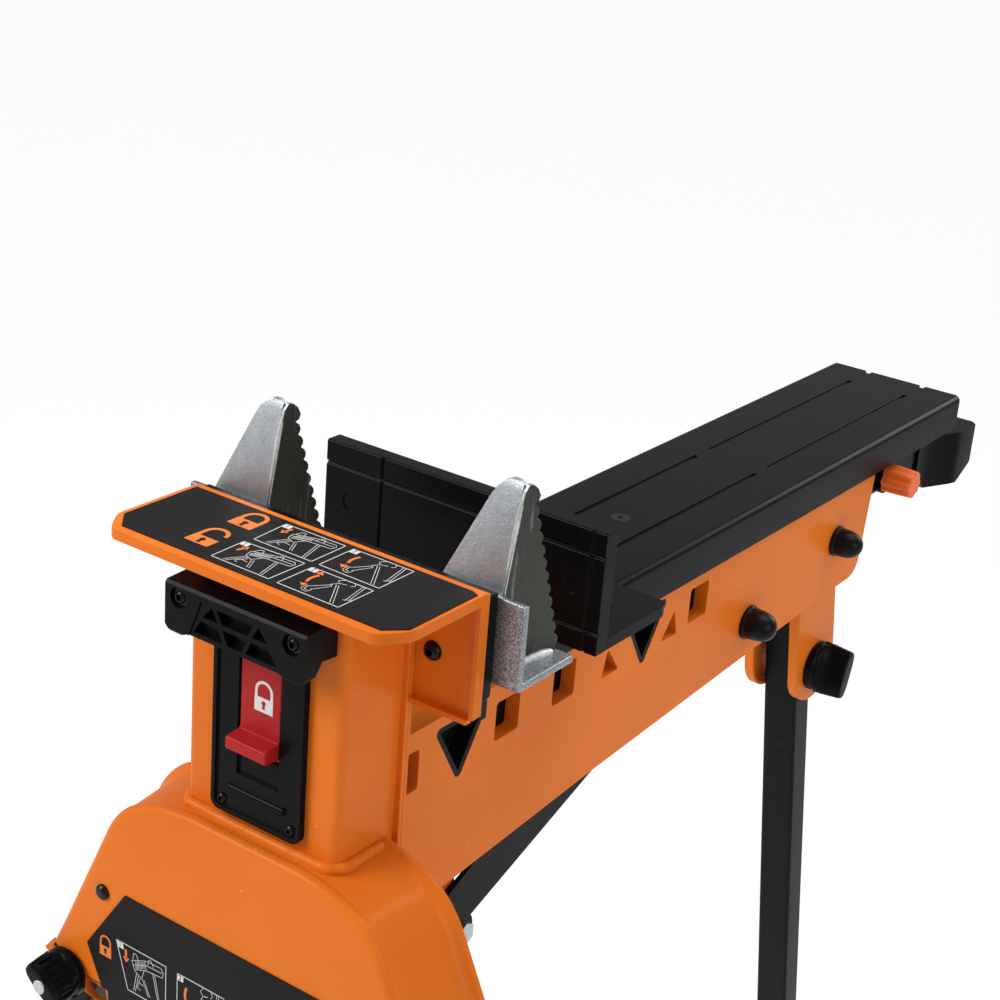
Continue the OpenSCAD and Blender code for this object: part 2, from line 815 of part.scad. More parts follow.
module front_knob_bolt() {
    leg_frame() {
        rod_y(apron_y0 - 22 - leg_y, -9 - leg_y, 0, -leg_knob_r, 4);
        rod_y(-14 - leg_y, -9.5 - leg_y, 0, -leg_knob_r, 6.5, 6);
    }
}

module front_leg_r() color("dimgray") place() front_leg();
module front_leg_l() color("dimgray") place() mirror([1, 0, 0]) front_leg();
module front_foot_r() color("black") place() front_foot();
module front_foot_l() color("black") place() mirror([1, 0, 0]) front_foot();
module front_knob_r() color("dimgray") place() front_knob();
module front_knob_l() color("dimgray") place() mirror([1, 0, 0]) front_knob();
module knob_bolt_r() color("silver") place() front_knob_bolt();
module knob_bolt_l() color("silver") place() mirror([1, 0, 0]) front_knob_bolt();

// Pedal

module lever_side() {
    difference() {
        union() {
            translate([lever_y, lever_z]) circle(r = 11.5, $fn = 28);
            polygon([
                [86, -262], [108, -253.5], [213, -214], [256, -198], [262, -184], [254, -164],
                [236, -160], [80, -232]
            ]);
            hull() {
                translate([72, -262]) circle(r = 16, $fn = 24);
                translate([lever_y - 4, lever_z + 6]) circle(r = 12, $fn = 24);
            }
            hull() {
                translate([72, -262]) circle(r = 16, $fn = 24);
                translate([pedal_y + 22, pedal_z + 6]) circle(r = 12, $fn = 24);
            }
        }
        translate([lever_y, lever_z]) circle(r = 5 + run, $fn = 24);
    }
}

module lever() color("dimgray") place() {
    both() yz(lever_in, lever_in + 3) lever_side();
    rod_x(-lever_in - 2, lever_in + 2, pawl_y, pawl_z, 4);
    rod_x(-lever_in - 2, lever_in + 2, pedal_y + 40, pedal_z + 24, 5);
}

module lever_brackets() color("dimgray") place() {
    both() difference() {
        yz(17, 19.5) union() {
            translate([lever_y, lever_z]) circle(r = 10, $fn = 28);
            polygon([[back_y, -165], [back_y, -236], [94, -270.5], [105, -256], [70, -165]]);
        }
        rod_x(15, 21, lever_y, lever_z, 5 + 0.02);
    }
}

module lever_pin() color("silver") place() {
    rod_x(-25, 25, lever_y, lever_z, 5);
    rod_x(24.4, 28.6, lever_y, lever_z, 7.4, 6);
    rod_x(-28.6, -24.4, lever_y, lever_z, 7.4, 6);
}

module return_spring() color("silver") place() {
    translate([-13, lever_y, lever_z]) rotate([0, 90, 0]) rotate_extrude($fn = 28)
        for (i = [0:13]) translate([6.4, i * 2]) circle(r = 1.15, $fn = 10);
    translate([-13, lever_y - 6.4, lever_z - 26]) cylinder(h = 26, r = 1.1, $fn = 10);
    translate([13, lever_y - 6.4, lever_z]) cylinder(h = 30, r = 1.1, $fn = 10);
}

module pedal_pad() color("black") place() {
    difference() {
        union() {
            translate([0, pedal_y, pedal_z - 8]) linear_extrude(5) rounded(pedal_width, 84, 8);
            for (i = [-3:3]) box(
                [-pedal_width / 2 + 10, pedal_y + i * 11 - 2.5, pedal_z - 3.1],
                [pedal_width / 2 - 10, pedal_y + i * 11 + 2.5, pedal_z]
            );
            box([-lever_in + 0.2, pedal_y - 20, pedal_z - 8], [lever_in - 0.2, pedal_y + 30, pedal_z + 3]);
        }
        both() translate([lever_in - 0.2, -2000, pedal_z - 40]) cube([3.4, 4000, 60]);
    }
}

module pawl() color("silver") place() {
    difference() {
        yz(-7, 7) union() {
            translate([pawl_y, pawl_z]) circle(r = 9, $fn = 24);
            polygon([
                [pawl_y - 8, pawl_z], [pawl_y + 9, pawl_z], [pawl_y + 9, -114], [pawl_y + 6, -110],
                [pawl_y + 3, -114], [pawl_y, -110], [pawl_y - 3, -114], [pawl_y - 6, -110], [pawl_y - 9, -114]
            ]);
        }
        rod_x(-10, 10, pawl_y, pawl_z, 4 + run);
    }
}

// Slide

module tray_profile() {
    w = tray_width / 2;
    z = -tray_drop;
    zs = -skirt_drop;
    difference() {
        union() {
            offset(r = 4, $fn = 16) translate([-w + 4, zs - 10]) square([2 * w - 8, z - zs + 6]);
        }
        translate([-w - 1, zs - 40]) square([2 * w + 2, 40]);
        translate([-w + 2, zs - 1]) square([2 * w - 4, z - 2.6 - zs + 1]);
    }
}

module tray() color("dimgray") place() {
    z = -tray_drop;
    difference() {
        xz(tray_y0, tray_end) tray_profile();
        for (x = [-21.5, 21.5]) {
            box([x - 1.4, tray_y0 + 8, z - 1.6], [x + 1.4, 388, z + 1]);
            box([x - 1.4, 404, z - 1.6], [x + 1.4, tray_end - 30, z + 1]);
            box([x - 2.2, tray_end - 5, z - 9], [x + 2.2, tray_end + 1, z + 1]);
        }
        rod_z(0, 264.6, z - 8, z + 1, 3.2);
        translate([0, 264.6, z - 1.6]) cylinder(h = 1.7, r1 = 4.6, r2 = 6.4, $fn = 24);
    }
    box([-tray_width / 2 + 1.5, tray_end - 2, -skirt_drop + 4.2], [tray_width / 2 - 1.5, tray_end, z - 1.6]);
}

module rod_z(x, y, z0, z1, r) {
    translate([x, y, z0]) cylinder(h = z1 - z0, r = r, $fn = 24);
}

module tray_screw() color("black") place() difference() {
    union() {
        translate([0, 264.6, -tray_drop - 1.5]) cylinder(h = 1.5, r1 = 4.6, r2 = 6.2, $fn = 24);
        rod_z(0, 264.6, -tray_drop - 5.1, -tray_drop - 1.4, 3.1);
    }
    translate([0, 264.6, -tray_drop - 1]) cylinder(h = 3, r = 2, $fn = 6);
}

module slide_channel() color("silver") place() {
    zt = -tray_drop - 2.7;
    y1 = tray_end - 3;
    difference() {
        box([-40, jaw_y + jaw_thickness + 2, zt - 2.4], [40, y1, zt]);
        rod_z(0, 264.6, zt - 8, zt + 1, 3.2);
    }
    both() box([26.5, jaw_y + jaw_thickness + 2, -beam_drop + 1.6], [32.5, y1, zt - 2.3]);
}

module rack_bar() color("silver") place() {
    zt = -tray_drop - 5.2;
    y0 = jaw_y + jaw_thickness + 14;
    n = 36;
    p = 12;
    translate([5, 0, 0]) rotate([90, 0, -90]) linear_extrude(10) scale([-1, 1]) polygon(concat(
        [[y0 + n * p, zt], [y0, zt]],
        [for (i = [0:n - 1]) each [[y0 + i * p, zt - 8.5], [y0 + i * p + p - 1, zt - 12]]],
        [[y0 + n * p, zt - 8.5]]
    ));
}

module jaw_plate() color("dimgray") place() {
    w = jaw_width / 2;
    y = jaw_y;
    difference() {
        box([-w, y, jaw_bottom], [w, y + jaw_thickness, jaw_top]);
        for (z = [jaw_top - 13, jaw_bottom + 12]) translate([0, y, z]) rotate([45, 0, 0])
            cube([2 * w + 10, 2, 2], center = true);
        for (x = [-w + 38.5, w - 8]) translate([x, y, (jaw_top + jaw_bottom) / 2]) rotate([0, 0, 45])
            cube([1.6, 1.6, jaw_height + 10], center = true);
        for (x = [-w + 18, w - 18]) rod_y(y - 1, y + 0.8, x, jaw_top - 32, 5.4, 24);
        translate([0, y - 1, jaw_top]) rotate([45, 0, 0]) cube([2 * w + 10, 2.4, 2.4], center = true);
    }
}

module jaw_shelf() color("dimgray") place() {
    w = jaw_width / 2;
    y0 = jaw_y + jaw_thickness;
    difference() {
        translate([0, y0, -tray_drop]) linear_extrude(6.6) difference() {
            union() {
                translate([-w, 0]) square([2 * w, shelf_depth - 7]);
                translate([-w + 7, 0]) square([2 * w - 14, shelf_depth]);
                for (x = [-w + 7, w - 7]) translate([x, shelf_depth - 7]) circle(r = 7, $fn = 28);
            }
        }
        for (x = [-68, 68]) rod_z(x, y0 + 30, -tray_drop - 2, -tray_drop + 10, 4.2);
    }
    both() yz(28, 33) polygon([
        [y0, 6.5 - tray_drop], [y0 + 44, 6.5 - tray_drop], [y0 + 8, jaw_top - 10], [y0, jaw_top - 10]
    ]);
}

// All nodes

column();
column_back();
head_shell();
head_back();
top_panel();
jaw_pad();
head_screws();
log_bracket_r();
log_bracket_l();
log_blade_r();
log_blade_l();
switch_plate();
plate_screws();
red_slider();
guard();
guard_screws();
beam_side_r();
beam_side_l();
beam_top();
beam_liner();
vee_bezels();
roller_front();
roller_rear();
axles();
spacers();
caps();
tail_block();
lock_knob();
lock_screw();
rear_bridge();
rear_bracket_r();
rear_bracket_l();
rear_leg();
rear_foot();
rear_knob();
rear_bolt();
apron();
apron_panel();
leg_plate();
leg_pivots();
front_leg_r();
front_leg_l();
front_foot_r();
front_foot_l();
front_knob_r();
front_knob_l();
knob_bolt_r();
knob_bolt_l();
lever();
lever_brackets();
lever_pin();
return_spring();
pedal_pad();
pawl();
tray();
tray_screw();
slide_channel();
rack_bar();
jaw_plate();
jaw_shelf();
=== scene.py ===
import json
import math
import random
import bpy
import bmesh
from mathutils import Matrix, Vector


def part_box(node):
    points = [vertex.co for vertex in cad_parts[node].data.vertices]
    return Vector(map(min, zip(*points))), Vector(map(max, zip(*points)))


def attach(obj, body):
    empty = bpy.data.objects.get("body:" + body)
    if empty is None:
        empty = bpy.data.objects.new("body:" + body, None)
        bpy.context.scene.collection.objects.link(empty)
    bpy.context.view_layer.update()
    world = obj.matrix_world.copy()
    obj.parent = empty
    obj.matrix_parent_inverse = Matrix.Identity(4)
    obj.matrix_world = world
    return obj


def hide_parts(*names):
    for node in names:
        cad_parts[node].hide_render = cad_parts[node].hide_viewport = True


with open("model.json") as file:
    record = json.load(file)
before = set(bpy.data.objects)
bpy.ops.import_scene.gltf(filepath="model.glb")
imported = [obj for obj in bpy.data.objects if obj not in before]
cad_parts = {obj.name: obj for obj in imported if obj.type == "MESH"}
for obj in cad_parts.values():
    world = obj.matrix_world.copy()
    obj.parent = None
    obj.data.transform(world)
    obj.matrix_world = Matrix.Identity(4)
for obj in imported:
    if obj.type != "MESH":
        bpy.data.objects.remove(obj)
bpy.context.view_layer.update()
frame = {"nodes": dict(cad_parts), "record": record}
record = frame["record"]
nodes = frame["nodes"]
bodyOf = {node: body for body, names in record["behaviour"]["bodies"].items() for node in names}
slotOf = {part["node"]: part["material_slot"] for part in record["subparts"]}
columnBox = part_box("column_back")
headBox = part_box("head_shell")
# Plate millimetres: X right, Y back along the beam, Z up, zero at the back edge of the head's top face
home = Matrix.Translation((0, columnBox[1][1] - 0.001, headBox[1][2])) @ Matrix.Scale(0.001, 4)
print("frame loaded:", len(nodes), "nodes")


class Wire:  # one node output, so that sums on a surface read as sums
    def __init__(self, recipe, socket):
        self.recipe, self.socket = recipe, socket

    def sum(self, operation, first, second=0.0):
        return self.recipe.add("ShaderNodeMath", {"operation": operation}, {0: first, 1: second})

    def __add__(self, other):
        return self.sum("ADD", self, other)

    def __radd__(self, other):
        return self.sum("ADD", other, self)

    def __sub__(self, other):
        return self.sum("SUBTRACT", self, other)

    def __rsub__(self, other):
        return self.sum("SUBTRACT", other, self)

    def __mul__(self, other):
        return self.sum("MULTIPLY", self, other)

    def __rmul__(self, other):
        return self.sum("MULTIPLY", other, self)

    def above(self, limit):
        return self.sum("GREATER_THAN", self, limit)

    def below(self, limit):
        return self.sum("LESS_THAN", self, limit)


class Recipe:  # a material under construction
    def __init__(self, name):
        self.material = bpy.data.materials.new(name)
        self.material.use_nodes = True
        self.tree = self.material.node_tree
        self.tree.nodes.clear()
        self.place = self.add("ShaderNodeTexCoord", out="Object")

    def add(self, kind, settings=None, inputs=None, out=0):
        node = self.tree.nodes.new(kind)
        for key, value in (settings or {}).items():
            if key == "stops":
                while len(node.color_ramp.elements) < len(value):
                    node.color_ramp.elements.new(0.5)
                for stop, (position, grey) in zip(node.color_ramp.elements, value):
                    stop.position, stop.color = position, (grey, grey, grey, 1)
            else:
                setattr(node, key, value)
        for key, value in (inputs or {}).items():
            self.connect(node.inputs[key], value)
        return Wire(self, node.outputs[out])

    def connect(self, socket, value):
        if isinstance(value, Wire):
            self.tree.links.new(value.socket, socket)
        else:
            socket.default_value = value

    def noise(self, scale, detail=2.0, rough=0.5, stretch=None):
        where = self.place
        if stretch:
            where = self.add("ShaderNodeMapping", None, {"Vector": where, "Scale": stretch})
        inputs = {"Vector": where, "Scale": scale, "Detail": detail, "Roughness": rough}
        return self.add("ShaderNodeTexNoise", None, inputs, "Fac")

    def ramp(self, value, *stops):
        return self.add("ShaderNodeValToRGB", {"stops": stops}, {"Fac": value}, "Color")

    def mix(self, amount, first, second):
        return self.add("ShaderNodeMix", {"data_type": "RGBA"}, {0: amount, 6: first, 7: second}, 2)

    def bump(self, height, distance):
        return self.add("ShaderNodeBump", None, {"Height": height, "Distance": distance, "Strength": 1.0})

    def finish(self, varying, fixed):
        shader = self.tree.nodes.new("ShaderNodeBsdfPrincipled")
        out = self.tree.nodes.new("ShaderNodeOutputMaterial")
        self.tree.links.new(shader.outputs[0], out.inputs["Surface"])
        for key, value in {**fixed, **varying}.items():
            self.connect(shader.inputs[key], value)
        return self.material


def tone(red, green, blue):
    return (red, green, blue, 1.0)


# Powder coat: an even gloss over fine ripples, with a few pale specks baked in
paint = {
    "orange": {"base": tone(0.80, 0.190, 0.014), "deep": tone(0.70, 0.150, 0.010),
               "speck": tone(0.9, 0.62, 0.45), "rough": 0.36, "coat": 0.10, "level": 0.09, "peel": 0.00009},
    "black": {"base": tone(0.0048, 0.0048, 0.0052), "deep": tone(0.0028, 0.0028, 0.0031),
              "speck": tone(0.2, 0.2, 0.2), "rough": 0.36, "coat": 0.02, "level": 0.10, "peel": 0.00007},
}
paint["blackened"] = {**paint["black"], "rough": 0.24, "coat": 0.3}
paintScale = {"cloud": 7.0, "ripple": 420.0, "speck": 95.0, "rare": 60.0, "fine": 900.0}


def paintedSteel(name, look):
    surface = Recipe(name)
    cloud = surface.noise(paintScale["cloud"], 3.0)
    ripple = surface.noise(paintScale["ripple"], 2.0, 0.45)
    cells = {"Vector": surface.place, "Scale": paintScale["speck"]}
    dots = surface.add("ShaderNodeTexVoronoi", None, cells, "Distance")
    speck = dots.below(0.055) * surface.noise(paintScale["rare"], 1.0).above(0.62)
    base = surface.mix(surface.ramp(cloud, (0.3, 0.0), (0.75, 1.0)), look["base"], look["deep"])
    base = surface.mix(speck * 0.45, base, look["speck"])
    rough = look["rough"] + cloud * 0.08 + surface.noise(paintScale["fine"], 1.0) * 0.04
    normal = surface.bump(ripple + speck * 0.8, look["peel"])
    fixed = {"Coat Weight": look["coat"], "Coat Roughness": 0.06, "Specular IOR Level": look["level"]}
    return surface.finish({"Base Color": base, "Roughness": rough, "Normal": normal}, fixed)


# Moulded parts: fine spark grain with faint handling marks
moulded = {
    "black": {"base": tone(0.0034, 0.0033, 0.0036), "worn": tone(0.0056, 0.0054, 0.0057),
              "rough": 0.24, "grain": 0.00005, "level": 0.07},
    "rubber": {"base": tone(0.0036, 0.0034, 0.0036), "worn": tone(0.0062, 0.0058, 0.006),
               "rough": 0.26, "grain": 0.00006, "level": 0.13},
    "red": {"base": tone(0.44, 0.015, 0.015), "worn": tone(0.34, 0.012, 0.012),
            "rough": 0.26, "grain": 0.00004, "level": 0.14},
    "orange": {"base": tone(0.86, 0.155, 0.02), "worn": tone(0.76, 0.12, 0.014),
               "rough": 0.3, "grain": 0.00005, "level": 0.3},
    "nylon": {"base": tone(0.74, 0.74, 0.70), "worn": tone(0.62, 0.61, 0.57),
              "rough": 0.4, "grain": 0.00006, "level": 0.4},
    "panel": {"base": tone(0.0150, 0.0135, 0.0142), "worn": tone(0.0200, 0.0182, 0.0188),
              "rough": 0.5, "grain": 0.00008, "level": 0.06},
}
mouldScale = {"grain": 1900.0, "cloud": 16.0, "scuff": 70.0}


def mouldedPlastic(name, look):
    surface = Recipe(name)
    grain = surface.noise(mouldScale["grain"], 2.0, 0.55)
    cloud = surface.noise(mouldScale["cloud"], 4.0, 0.6)
    marks = surface.noise(mouldScale["scuff"], 5.0, 0.7, (1.0, 0.16, 1.0))
    scuff = surface.ramp(marks, (0.60, 0.0), (0.78, 1.0))
    base = surface.mix(surface.ramp(cloud, (0.35, 0.0), (0.8, 1.0)), look["base"], look["worn"])
    rough = look["rough"] + cloud * 0.08 + scuff * 0.06
    normal = surface.bump(grain, look["grain"])
    fixed = {"Specular IOR Level": look["level"]}
    return surface.finish({"Base Color": base, "Roughness": rough, "Normal": normal}, fixed)


# Plated steel: a fine bright grain over cloudy patches and drawn streaks
plating = {
    "zinc": {"light": tone(0.60, 0.62, 0.66), "dark": tone(0.07, 0.072, 0.075),
             "rough": 0.30, "grain": 0.85, "cloud": 0.12},
    # the blade's olive tone is painted shade, laid on the sideways-facing toothed web by its normal
    "blade": {"light": tone(0.66, 0.70, 0.74), "dark": tone(0.13, 0.135, 0.14),
              "rough": 0.26, "grain": 0.30, "cloud": 0.26, "paintedWebShade": tone(0.050, 0.056, 0.044)},
    "bright": {"light": tone(0.62, 0.63, 0.64), "dark": tone(0.30, 0.30, 0.30),
               "rough": 0.24, "grain": 0.12, "cloud": 0.3},
    # the weld look; it also colours the bead down each blade's bend, which is a painted highlight
    "weld": {"light": tone(0.86, 0.87, 0.88), "dark": tone(0.30, 0.31, 0.32),
             "rough": 0.46, "grain": 0.2, "cloud": 0.5},
}
plateScale = {"grain": 1500.0, "crystal": 420.0, "cloud": 62.0,
              "streak": 300.0, "scratch": 150.0, "drawn": 260.0}


def platedSteel(name, look):
    surface = Recipe(name)
    grain = surface.ramp(surface.noise(plateScale["grain"], 3.0, 0.8), (0.40, 0.0), (0.60, 1.0))
    crystal = surface.noise(plateScale["crystal"], 4.0, 0.75)
    patches = surface.noise(plateScale["cloud"], 6.0, 0.78) * 0.7 + crystal * 0.3
    cloud = surface.ramp(patches, (0.42, 0.0), (0.60, 1.0))
    streak = surface.noise(plateScale["streak"], 3.0, 0.5, (1.0, 1.0, 0.07))
    lines = surface.noise(plateScale["scratch"], 2.0, 0.5, (1.0, 0.9, 0.04))
    scratch = surface.ramp(lines, (0.66, 0.0), (0.70, 1.0))
    base = surface.mix(grain * look["grain"] + cloud * look["cloud"], look["light"], look["dark"])
    if "paintedWebShade" in look:  # the toothed web faces sideways: painted shade, an olive tone standing in for the dark reflection on sideways faces, with pale drawn scratches
        way = surface.add("ShaderNodeTexCoord", out="Normal")
        across = surface.add("ShaderNodeSeparateXYZ", None, {0: way}, 0)
        sideways = surface.ramp(across, (0.86, 0.0), (0.95, 1.0))
        drawn = surface.noise(plateScale["drawn"], 3.0, 0.6, (1.0, 1.0, 0.10))
        pale = surface.ramp(drawn, (0.60, 0.0), (0.74, 1.0)) * 0.22 + grain * 0.05
        base = surface.mix(sideways, base, surface.mix(pale, look["paintedWebShade"], look["light"]))
    rough = look["rough"] + cloud * 0.1 + streak * 0.08 - scratch * 0.08
    normal = surface.bump(grain * 0.6 + streak * 0.5 - scratch * 0.3, 0.00007)
    return surface.finish({"Base Color": base, "Roughness": rough, "Normal": normal}, {"Metallic": 1.0})


def flatInk(name, colour):  # printed marks, with the vinyl's faint unevenness
    surface = Recipe(name)
    faded = tone(*(channel * 0.8 for channel in colour[:3]))
    base = surface.mix(surface.noise(300.0, 3.0) * 0.25, colour, faded)
    rough = 0.45 + surface.noise(900.0) * 0.1
    return surface.finish({"Base Color": base, "Roughness": rough}, {"Specular IOR Level": 0.35})


finishes = {
    "orange_paint": paintedSteel("orangePaint", paint["orange"]),
    "black_paint": paintedSteel("blackPaint", paint["black"]),
    "panel_print": mouldedPlastic("panelVinyl", moulded["panel"]),
    "black_plastic": mouldedPlastic("blackPlastic", moulded["black"]),
    "red_plastic": mouldedPlastic("redPlastic", moulded["red"]),
    "orange_plastic": mouldedPlastic("orangePlastic", moulded["orange"]),
    "white_nylon": mouldedPlastic("rollerNylon", moulded["nylon"]),
    "black_rubber": mouldedPlastic("blackRubber", moulded["rubber"]),
    "zinc": platedSteel("cloudyZinc", plating["zinc"]),
    "bright_steel": platedSteel("brightSteel", plating["bright"]),
    "black_steel": paintedSteel("blackSteel", paint["blackened"]),
}
bladeZinc = platedSteel("bladeZinc", plating["blade"])
weldAndHighlightMetal = platedSteel("weldAndHighlightMetal", plating["weld"])
whiteInk = flatInk("whiteInk", tone(0.72, 0.71, 0.70))
orangeInk = flatInk("orangeInk", tone(0.80, 0.20, 0.03))
print("finishes mixed:", len(finishes) + 4)


def soften(shape, width, segments=2, limit=32.0, test=None):  # rounds the sharp edges of a mesh
    sharp = [edge for edge in shape.edges if len(edge.link_faces) == 2
             and edge.calc_face_angle(0.0) > math.radians(limit) and (test is None or test(edge))]
    if sharp:
        bmesh.ops.bevel(shape, geom=sharp, offset=width, offset_type="OFFSET", affect="EDGES",
                        segments=segments, profile=0.5, clamp_overlap=True, material=-1)


def keep(name, shape, finish, node, replace=(), crease=38.0):  # a finished mesh becomes a piece
    mesh = bpy.data.meshes.new(name)
    shape.to_mesh(mesh)
    shape.free()
    mesh.shade_smooth()
    mesh.set_sharp_from_angle(angle=math.radians(crease))
    piece = bpy.data.objects.new(name, mesh)
    bpy.context.scene.collection.objects.link(piece)
    mesh.materials.append(finishes[finish] if isinstance(finish, str) else finish)
    weighted = piece.modifiers.new("flatFaces", "WEIGHTED_NORMAL")
    weighted.keep_sharp = True
    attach(piece, bodyOf[node])
    if replace:
        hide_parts(*replace)
    return piece


# Rounding in millimetres of the frame's own parts; the parts made anew further down are left out here
rounding = {
    "column": 0.5, "column_back": 0.5, "head_back": 1.0, "jaw_pad": 0.9,
    "log_bracket_r": 0.9, "log_bracket_l": 0.9, "log_blade_r": 0.35, "log_blade_l": 0.35,
    "switch_plate": 0.7, "guard": 0.9, "beam_side_r": 0.6, "beam_side_l": 0.6, "beam_top": 0.4,
    "vee_bezels": 0.5, "axles": 0.6, "spacers": 0.4, "tail_block": 1.8, "lock_screw": 0.5, "rear_bridge": 0.5,
    "rear_bracket_r": 0.8, "rear_bracket_l": 0.8, "rear_leg": 0.5, "rear_foot": 1.6, "rear_bolt": 0.6,
    "leg_plate": 0.5, "leg_pivots": 0.4, "front_leg_r": 0.5, "front_leg_l": 0.5, "front_foot_r": 1.6,
    "front_foot_l": 1.6, "knob_bolt_r": 0.5, "knob_bolt_l": 0.5, "lever": 0.6, "lever_brackets": 0.6,
    "lever_pin": 0.5, "pedal_pad": 0.9, "pawl": 0.6, "tray": 0.7, "beam_liner": 0.6, "slide_channel": 0.4,
    "rack_bar": 0.3, "jaw_plate": 0.6, "jaw_shelf": 1.2, "apron_panel": 0.12, "top_panel": 0.12,
}


def nodeShape(node):  # the node's solid as a joined mesh with its flat faces whole
    shape = bmesh.new()
    shape.from_mesh(nodes[node].data)
    bmesh.ops.remove_doubles(shape, verts=shape.verts, dist=2e-6)
    bmesh.ops.dissolve_limit(shape, angle_limit=math.radians(0.6), verts=shape.verts, edges=shape.edges)
    return shape


for node, width in rounding.items():
    shape = nodeShape(node)
    soften(shape, width * 0.001)
    keep(node + "Body", shape, bladeZinc if node.startswith("log_blade") else slotOf[node], node, (node,))
print("frame parts rounded:", len(rounding))


def lathe(profile, turn, steps=48):  # (radius, height) pairs spun about Z, then laid in place
    shape = bmesh.new()
    points = [shape.verts.new((radius, 0, height)) for radius, height in profile]
    edges = [shape.edges.new(pair) for pair in zip(points, points[1:])]
    bmesh.ops.spin(shape, geom=points + edges, cent=(0, 0, 0), axis=(0, 0, 1), dvec=(0, 0, 0), angle=math.tau,
                   steps=steps, use_merge=True)
    bmesh.ops.remove_doubles(shape, verts=shape.verts, dist=1e-4)
    bmesh.ops.recalc_face_normals(shape, faces=shape.faces)
    bmesh.ops.transform(shape, matrix=home @ turn, verts=shape.verts)
    return shape


def join(shapes):
    whole = shapes[0]
    for shape in shapes[1:]:
        mesh = bpy.data.meshes.new("part")
        shape.to_mesh(mesh)
        shape.free()
        whole.from_mesh(mesh)
        bpy.data.meshes.remove(mesh)
    return whole


def curveShape(name, curve):  # a curve's mesh
    holder = bpy.data.objects.new(name, curve)
    mesh = bpy.data.meshes.new_from_object(holder)
    bpy.data.objects.remove(holder)
    shape = bmesh.new()
    shape.from_mesh(mesh)
    bpy.data.meshes.remove(mesh)
    return shape


def raiseFace(shape, face, height):  # extrudes a face along Z and gives back its new corners
    grown = bmesh.ops.extrude_face_region(shape, geom=[face])["geom"]
    moved = [item for item in grown if isinstance(item, bmesh.types.BMVert)]
    bmesh.ops.translate(shape, vec=(0, 0, height), verts=moved)
    return moved


def slab(outline, thickness, turn):  # outline in XY raised along Z
    shape = bmesh.new()
    raiseFace(shape, shape.faces.new([shape.verts.new((x, y, 0)) for x, y in outline]), thickness)
    bmesh.ops.recalc_face_normals(shape, faces=shape.faces)
    bmesh.ops.transform(shape, matrix=home @ turn, verts=shape.verts)
    return shape


def quarterTurn(axis, turn=90):
    return Matrix.Rotation(math.radians(turn), 4, axis)


alongX = quarterTurn("Y")
towardsFront = quarterTurn("X")

# Head: a pressed plate whose front edge rolls over
head = {"half": 90.0, "front": -67.0, "back": 1.0, "corner": 14.0, "chamfer": 10.0, "lip": 5.4, "wall": 2.5,
        "hollow": 2.9, "cornerRound": 3.5, "frontRoll": 4.4, "sideRoll": 1.4, "edge": 0.5}


def headPlate():
    half, cornerY = head["half"], head["front"] + head["corner"]
    leftSide = [(-half, head["back"]), (-half, cornerY), (-half + head["chamfer"], head["front"])]
    outline = leftSide + [(-x, y) for x, y in reversed(leftSide)]
    shape = slab(outline, head["lip"], Matrix.Translation((0, 0, -head["lip"])))
    bottom = [face for face in shape.faces if face.normal.z < -0.9]
    bmesh.ops.inset_region(shape, faces=bottom, thickness=head["wall"] * 0.001, use_even_offset=True)
    inner = list({vert for face in bottom for vert in face.verts})
    bmesh.ops.translate(shape, vec=(0, 0, head["hollow"] * 0.001), verts=inner)
    topZ = max(vert.co.z for vert in shape.verts)
    backY = max(vert.co.y for vert in shape.verts)
    shoulderY = min(vert.co.y for vert in shape.verts) + (head["corner"] + 0.5) * 0.001

    def onTop(edge):
        return all(abs(vert.co.z - topZ) < 1e-5 for vert in edge.verts)

    def upright(edge):
        tall = abs(edge.verts[0].co.z - edge.verts[1].co.z) > 0.004
        return tall and all(vert.co.y < backY - 0.01 for vert in edge.verts)

    def frontEdge(edge):
        return onTop(edge) and all(vert.co.y < shoulderY for vert in edge.verts)

    def sideEdge(edge):
        behind = any(vert.co.y > shoulderY for vert in edge.verts)
        return onTop(edge) and behind and any(vert.co.y < backY - 0.001 for vert in edge.verts)

    soften(shape, head["cornerRound"] * 0.001, 4, 20.0, upright)
    soften(shape, head["frontRoll"] * 0.001, 6, 20.0, frontEdge)
    soften(shape, head["sideRoll"] * 0.001, 4, 40.0, sideEdge)
    soften(shape, head["edge"] * 0.001)
    keep("headPlate", shape, "orange_paint", "head_shell", ("head_shell",))


headPlate()

# Welds: beads along a path, a little uneven
weld = {"radius": 3.4, "wave": 0.16, "out": 1.3, "half": 48.5, "front": -46.0, "shelf": -142.6}


def bead(name, path, radius, node, seed, step=1.6, finish="orange_paint"):
    points = []
    for first, second in zip(path, path[1:]):
        first, second = Vector(first), Vector(second)
        count = max(1, round((second - first).length / step))
        points += [first.lerp(second, index / count) for index in range(count)]
    points.append(Vector(path[-1]))
    curve = bpy.data.curves.new(name, "CURVE")
    curve.dimensions = "3D"
    line = curve.splines.new("POLY")
    line.points.add(len(points) - 1)
    random.seed(seed)
    for target, point in zip(line.points, points):
        target.co = (*point, 1)
        target.radius = 1.0 + random.uniform(-weld["wave"], weld["wave"])
    line.points[0].radius = line.points[-1].radius = 0.4
    curve.bevel_depth, curve.bevel_resolution, curve.use_fill_caps = radius, 4, True
    shape = curveShape(name, curve)
    for _ in range(2):
        bmesh.ops.smooth_vert(shape, verts=shape.verts, factor=0.5,
                              use_axis_x=True, use_axis_y=True, use_axis_z=True)
    bmesh.ops.transform(shape, matrix=home, verts=shape.verts)
    return keep(name, shape, finish, node, crease=80)


def columnWeld():  # round the column's foot
    half, out, shelf = weld["half"], weld["out"], weld["shelf"]
    outside, ahead = -half - out, weld["front"] - out
    left = [(outside, -12, shelf), (outside, weld["front"] + 5, shelf), (-half + 4, ahead, shelf),
            (-20, ahead - 0.3, shelf - 0.3)]
    bead("columnWeld", left + [(-x, y, z) for x, y, z in reversed(left)], weld["radius"], "column", 4)


columnWeld()
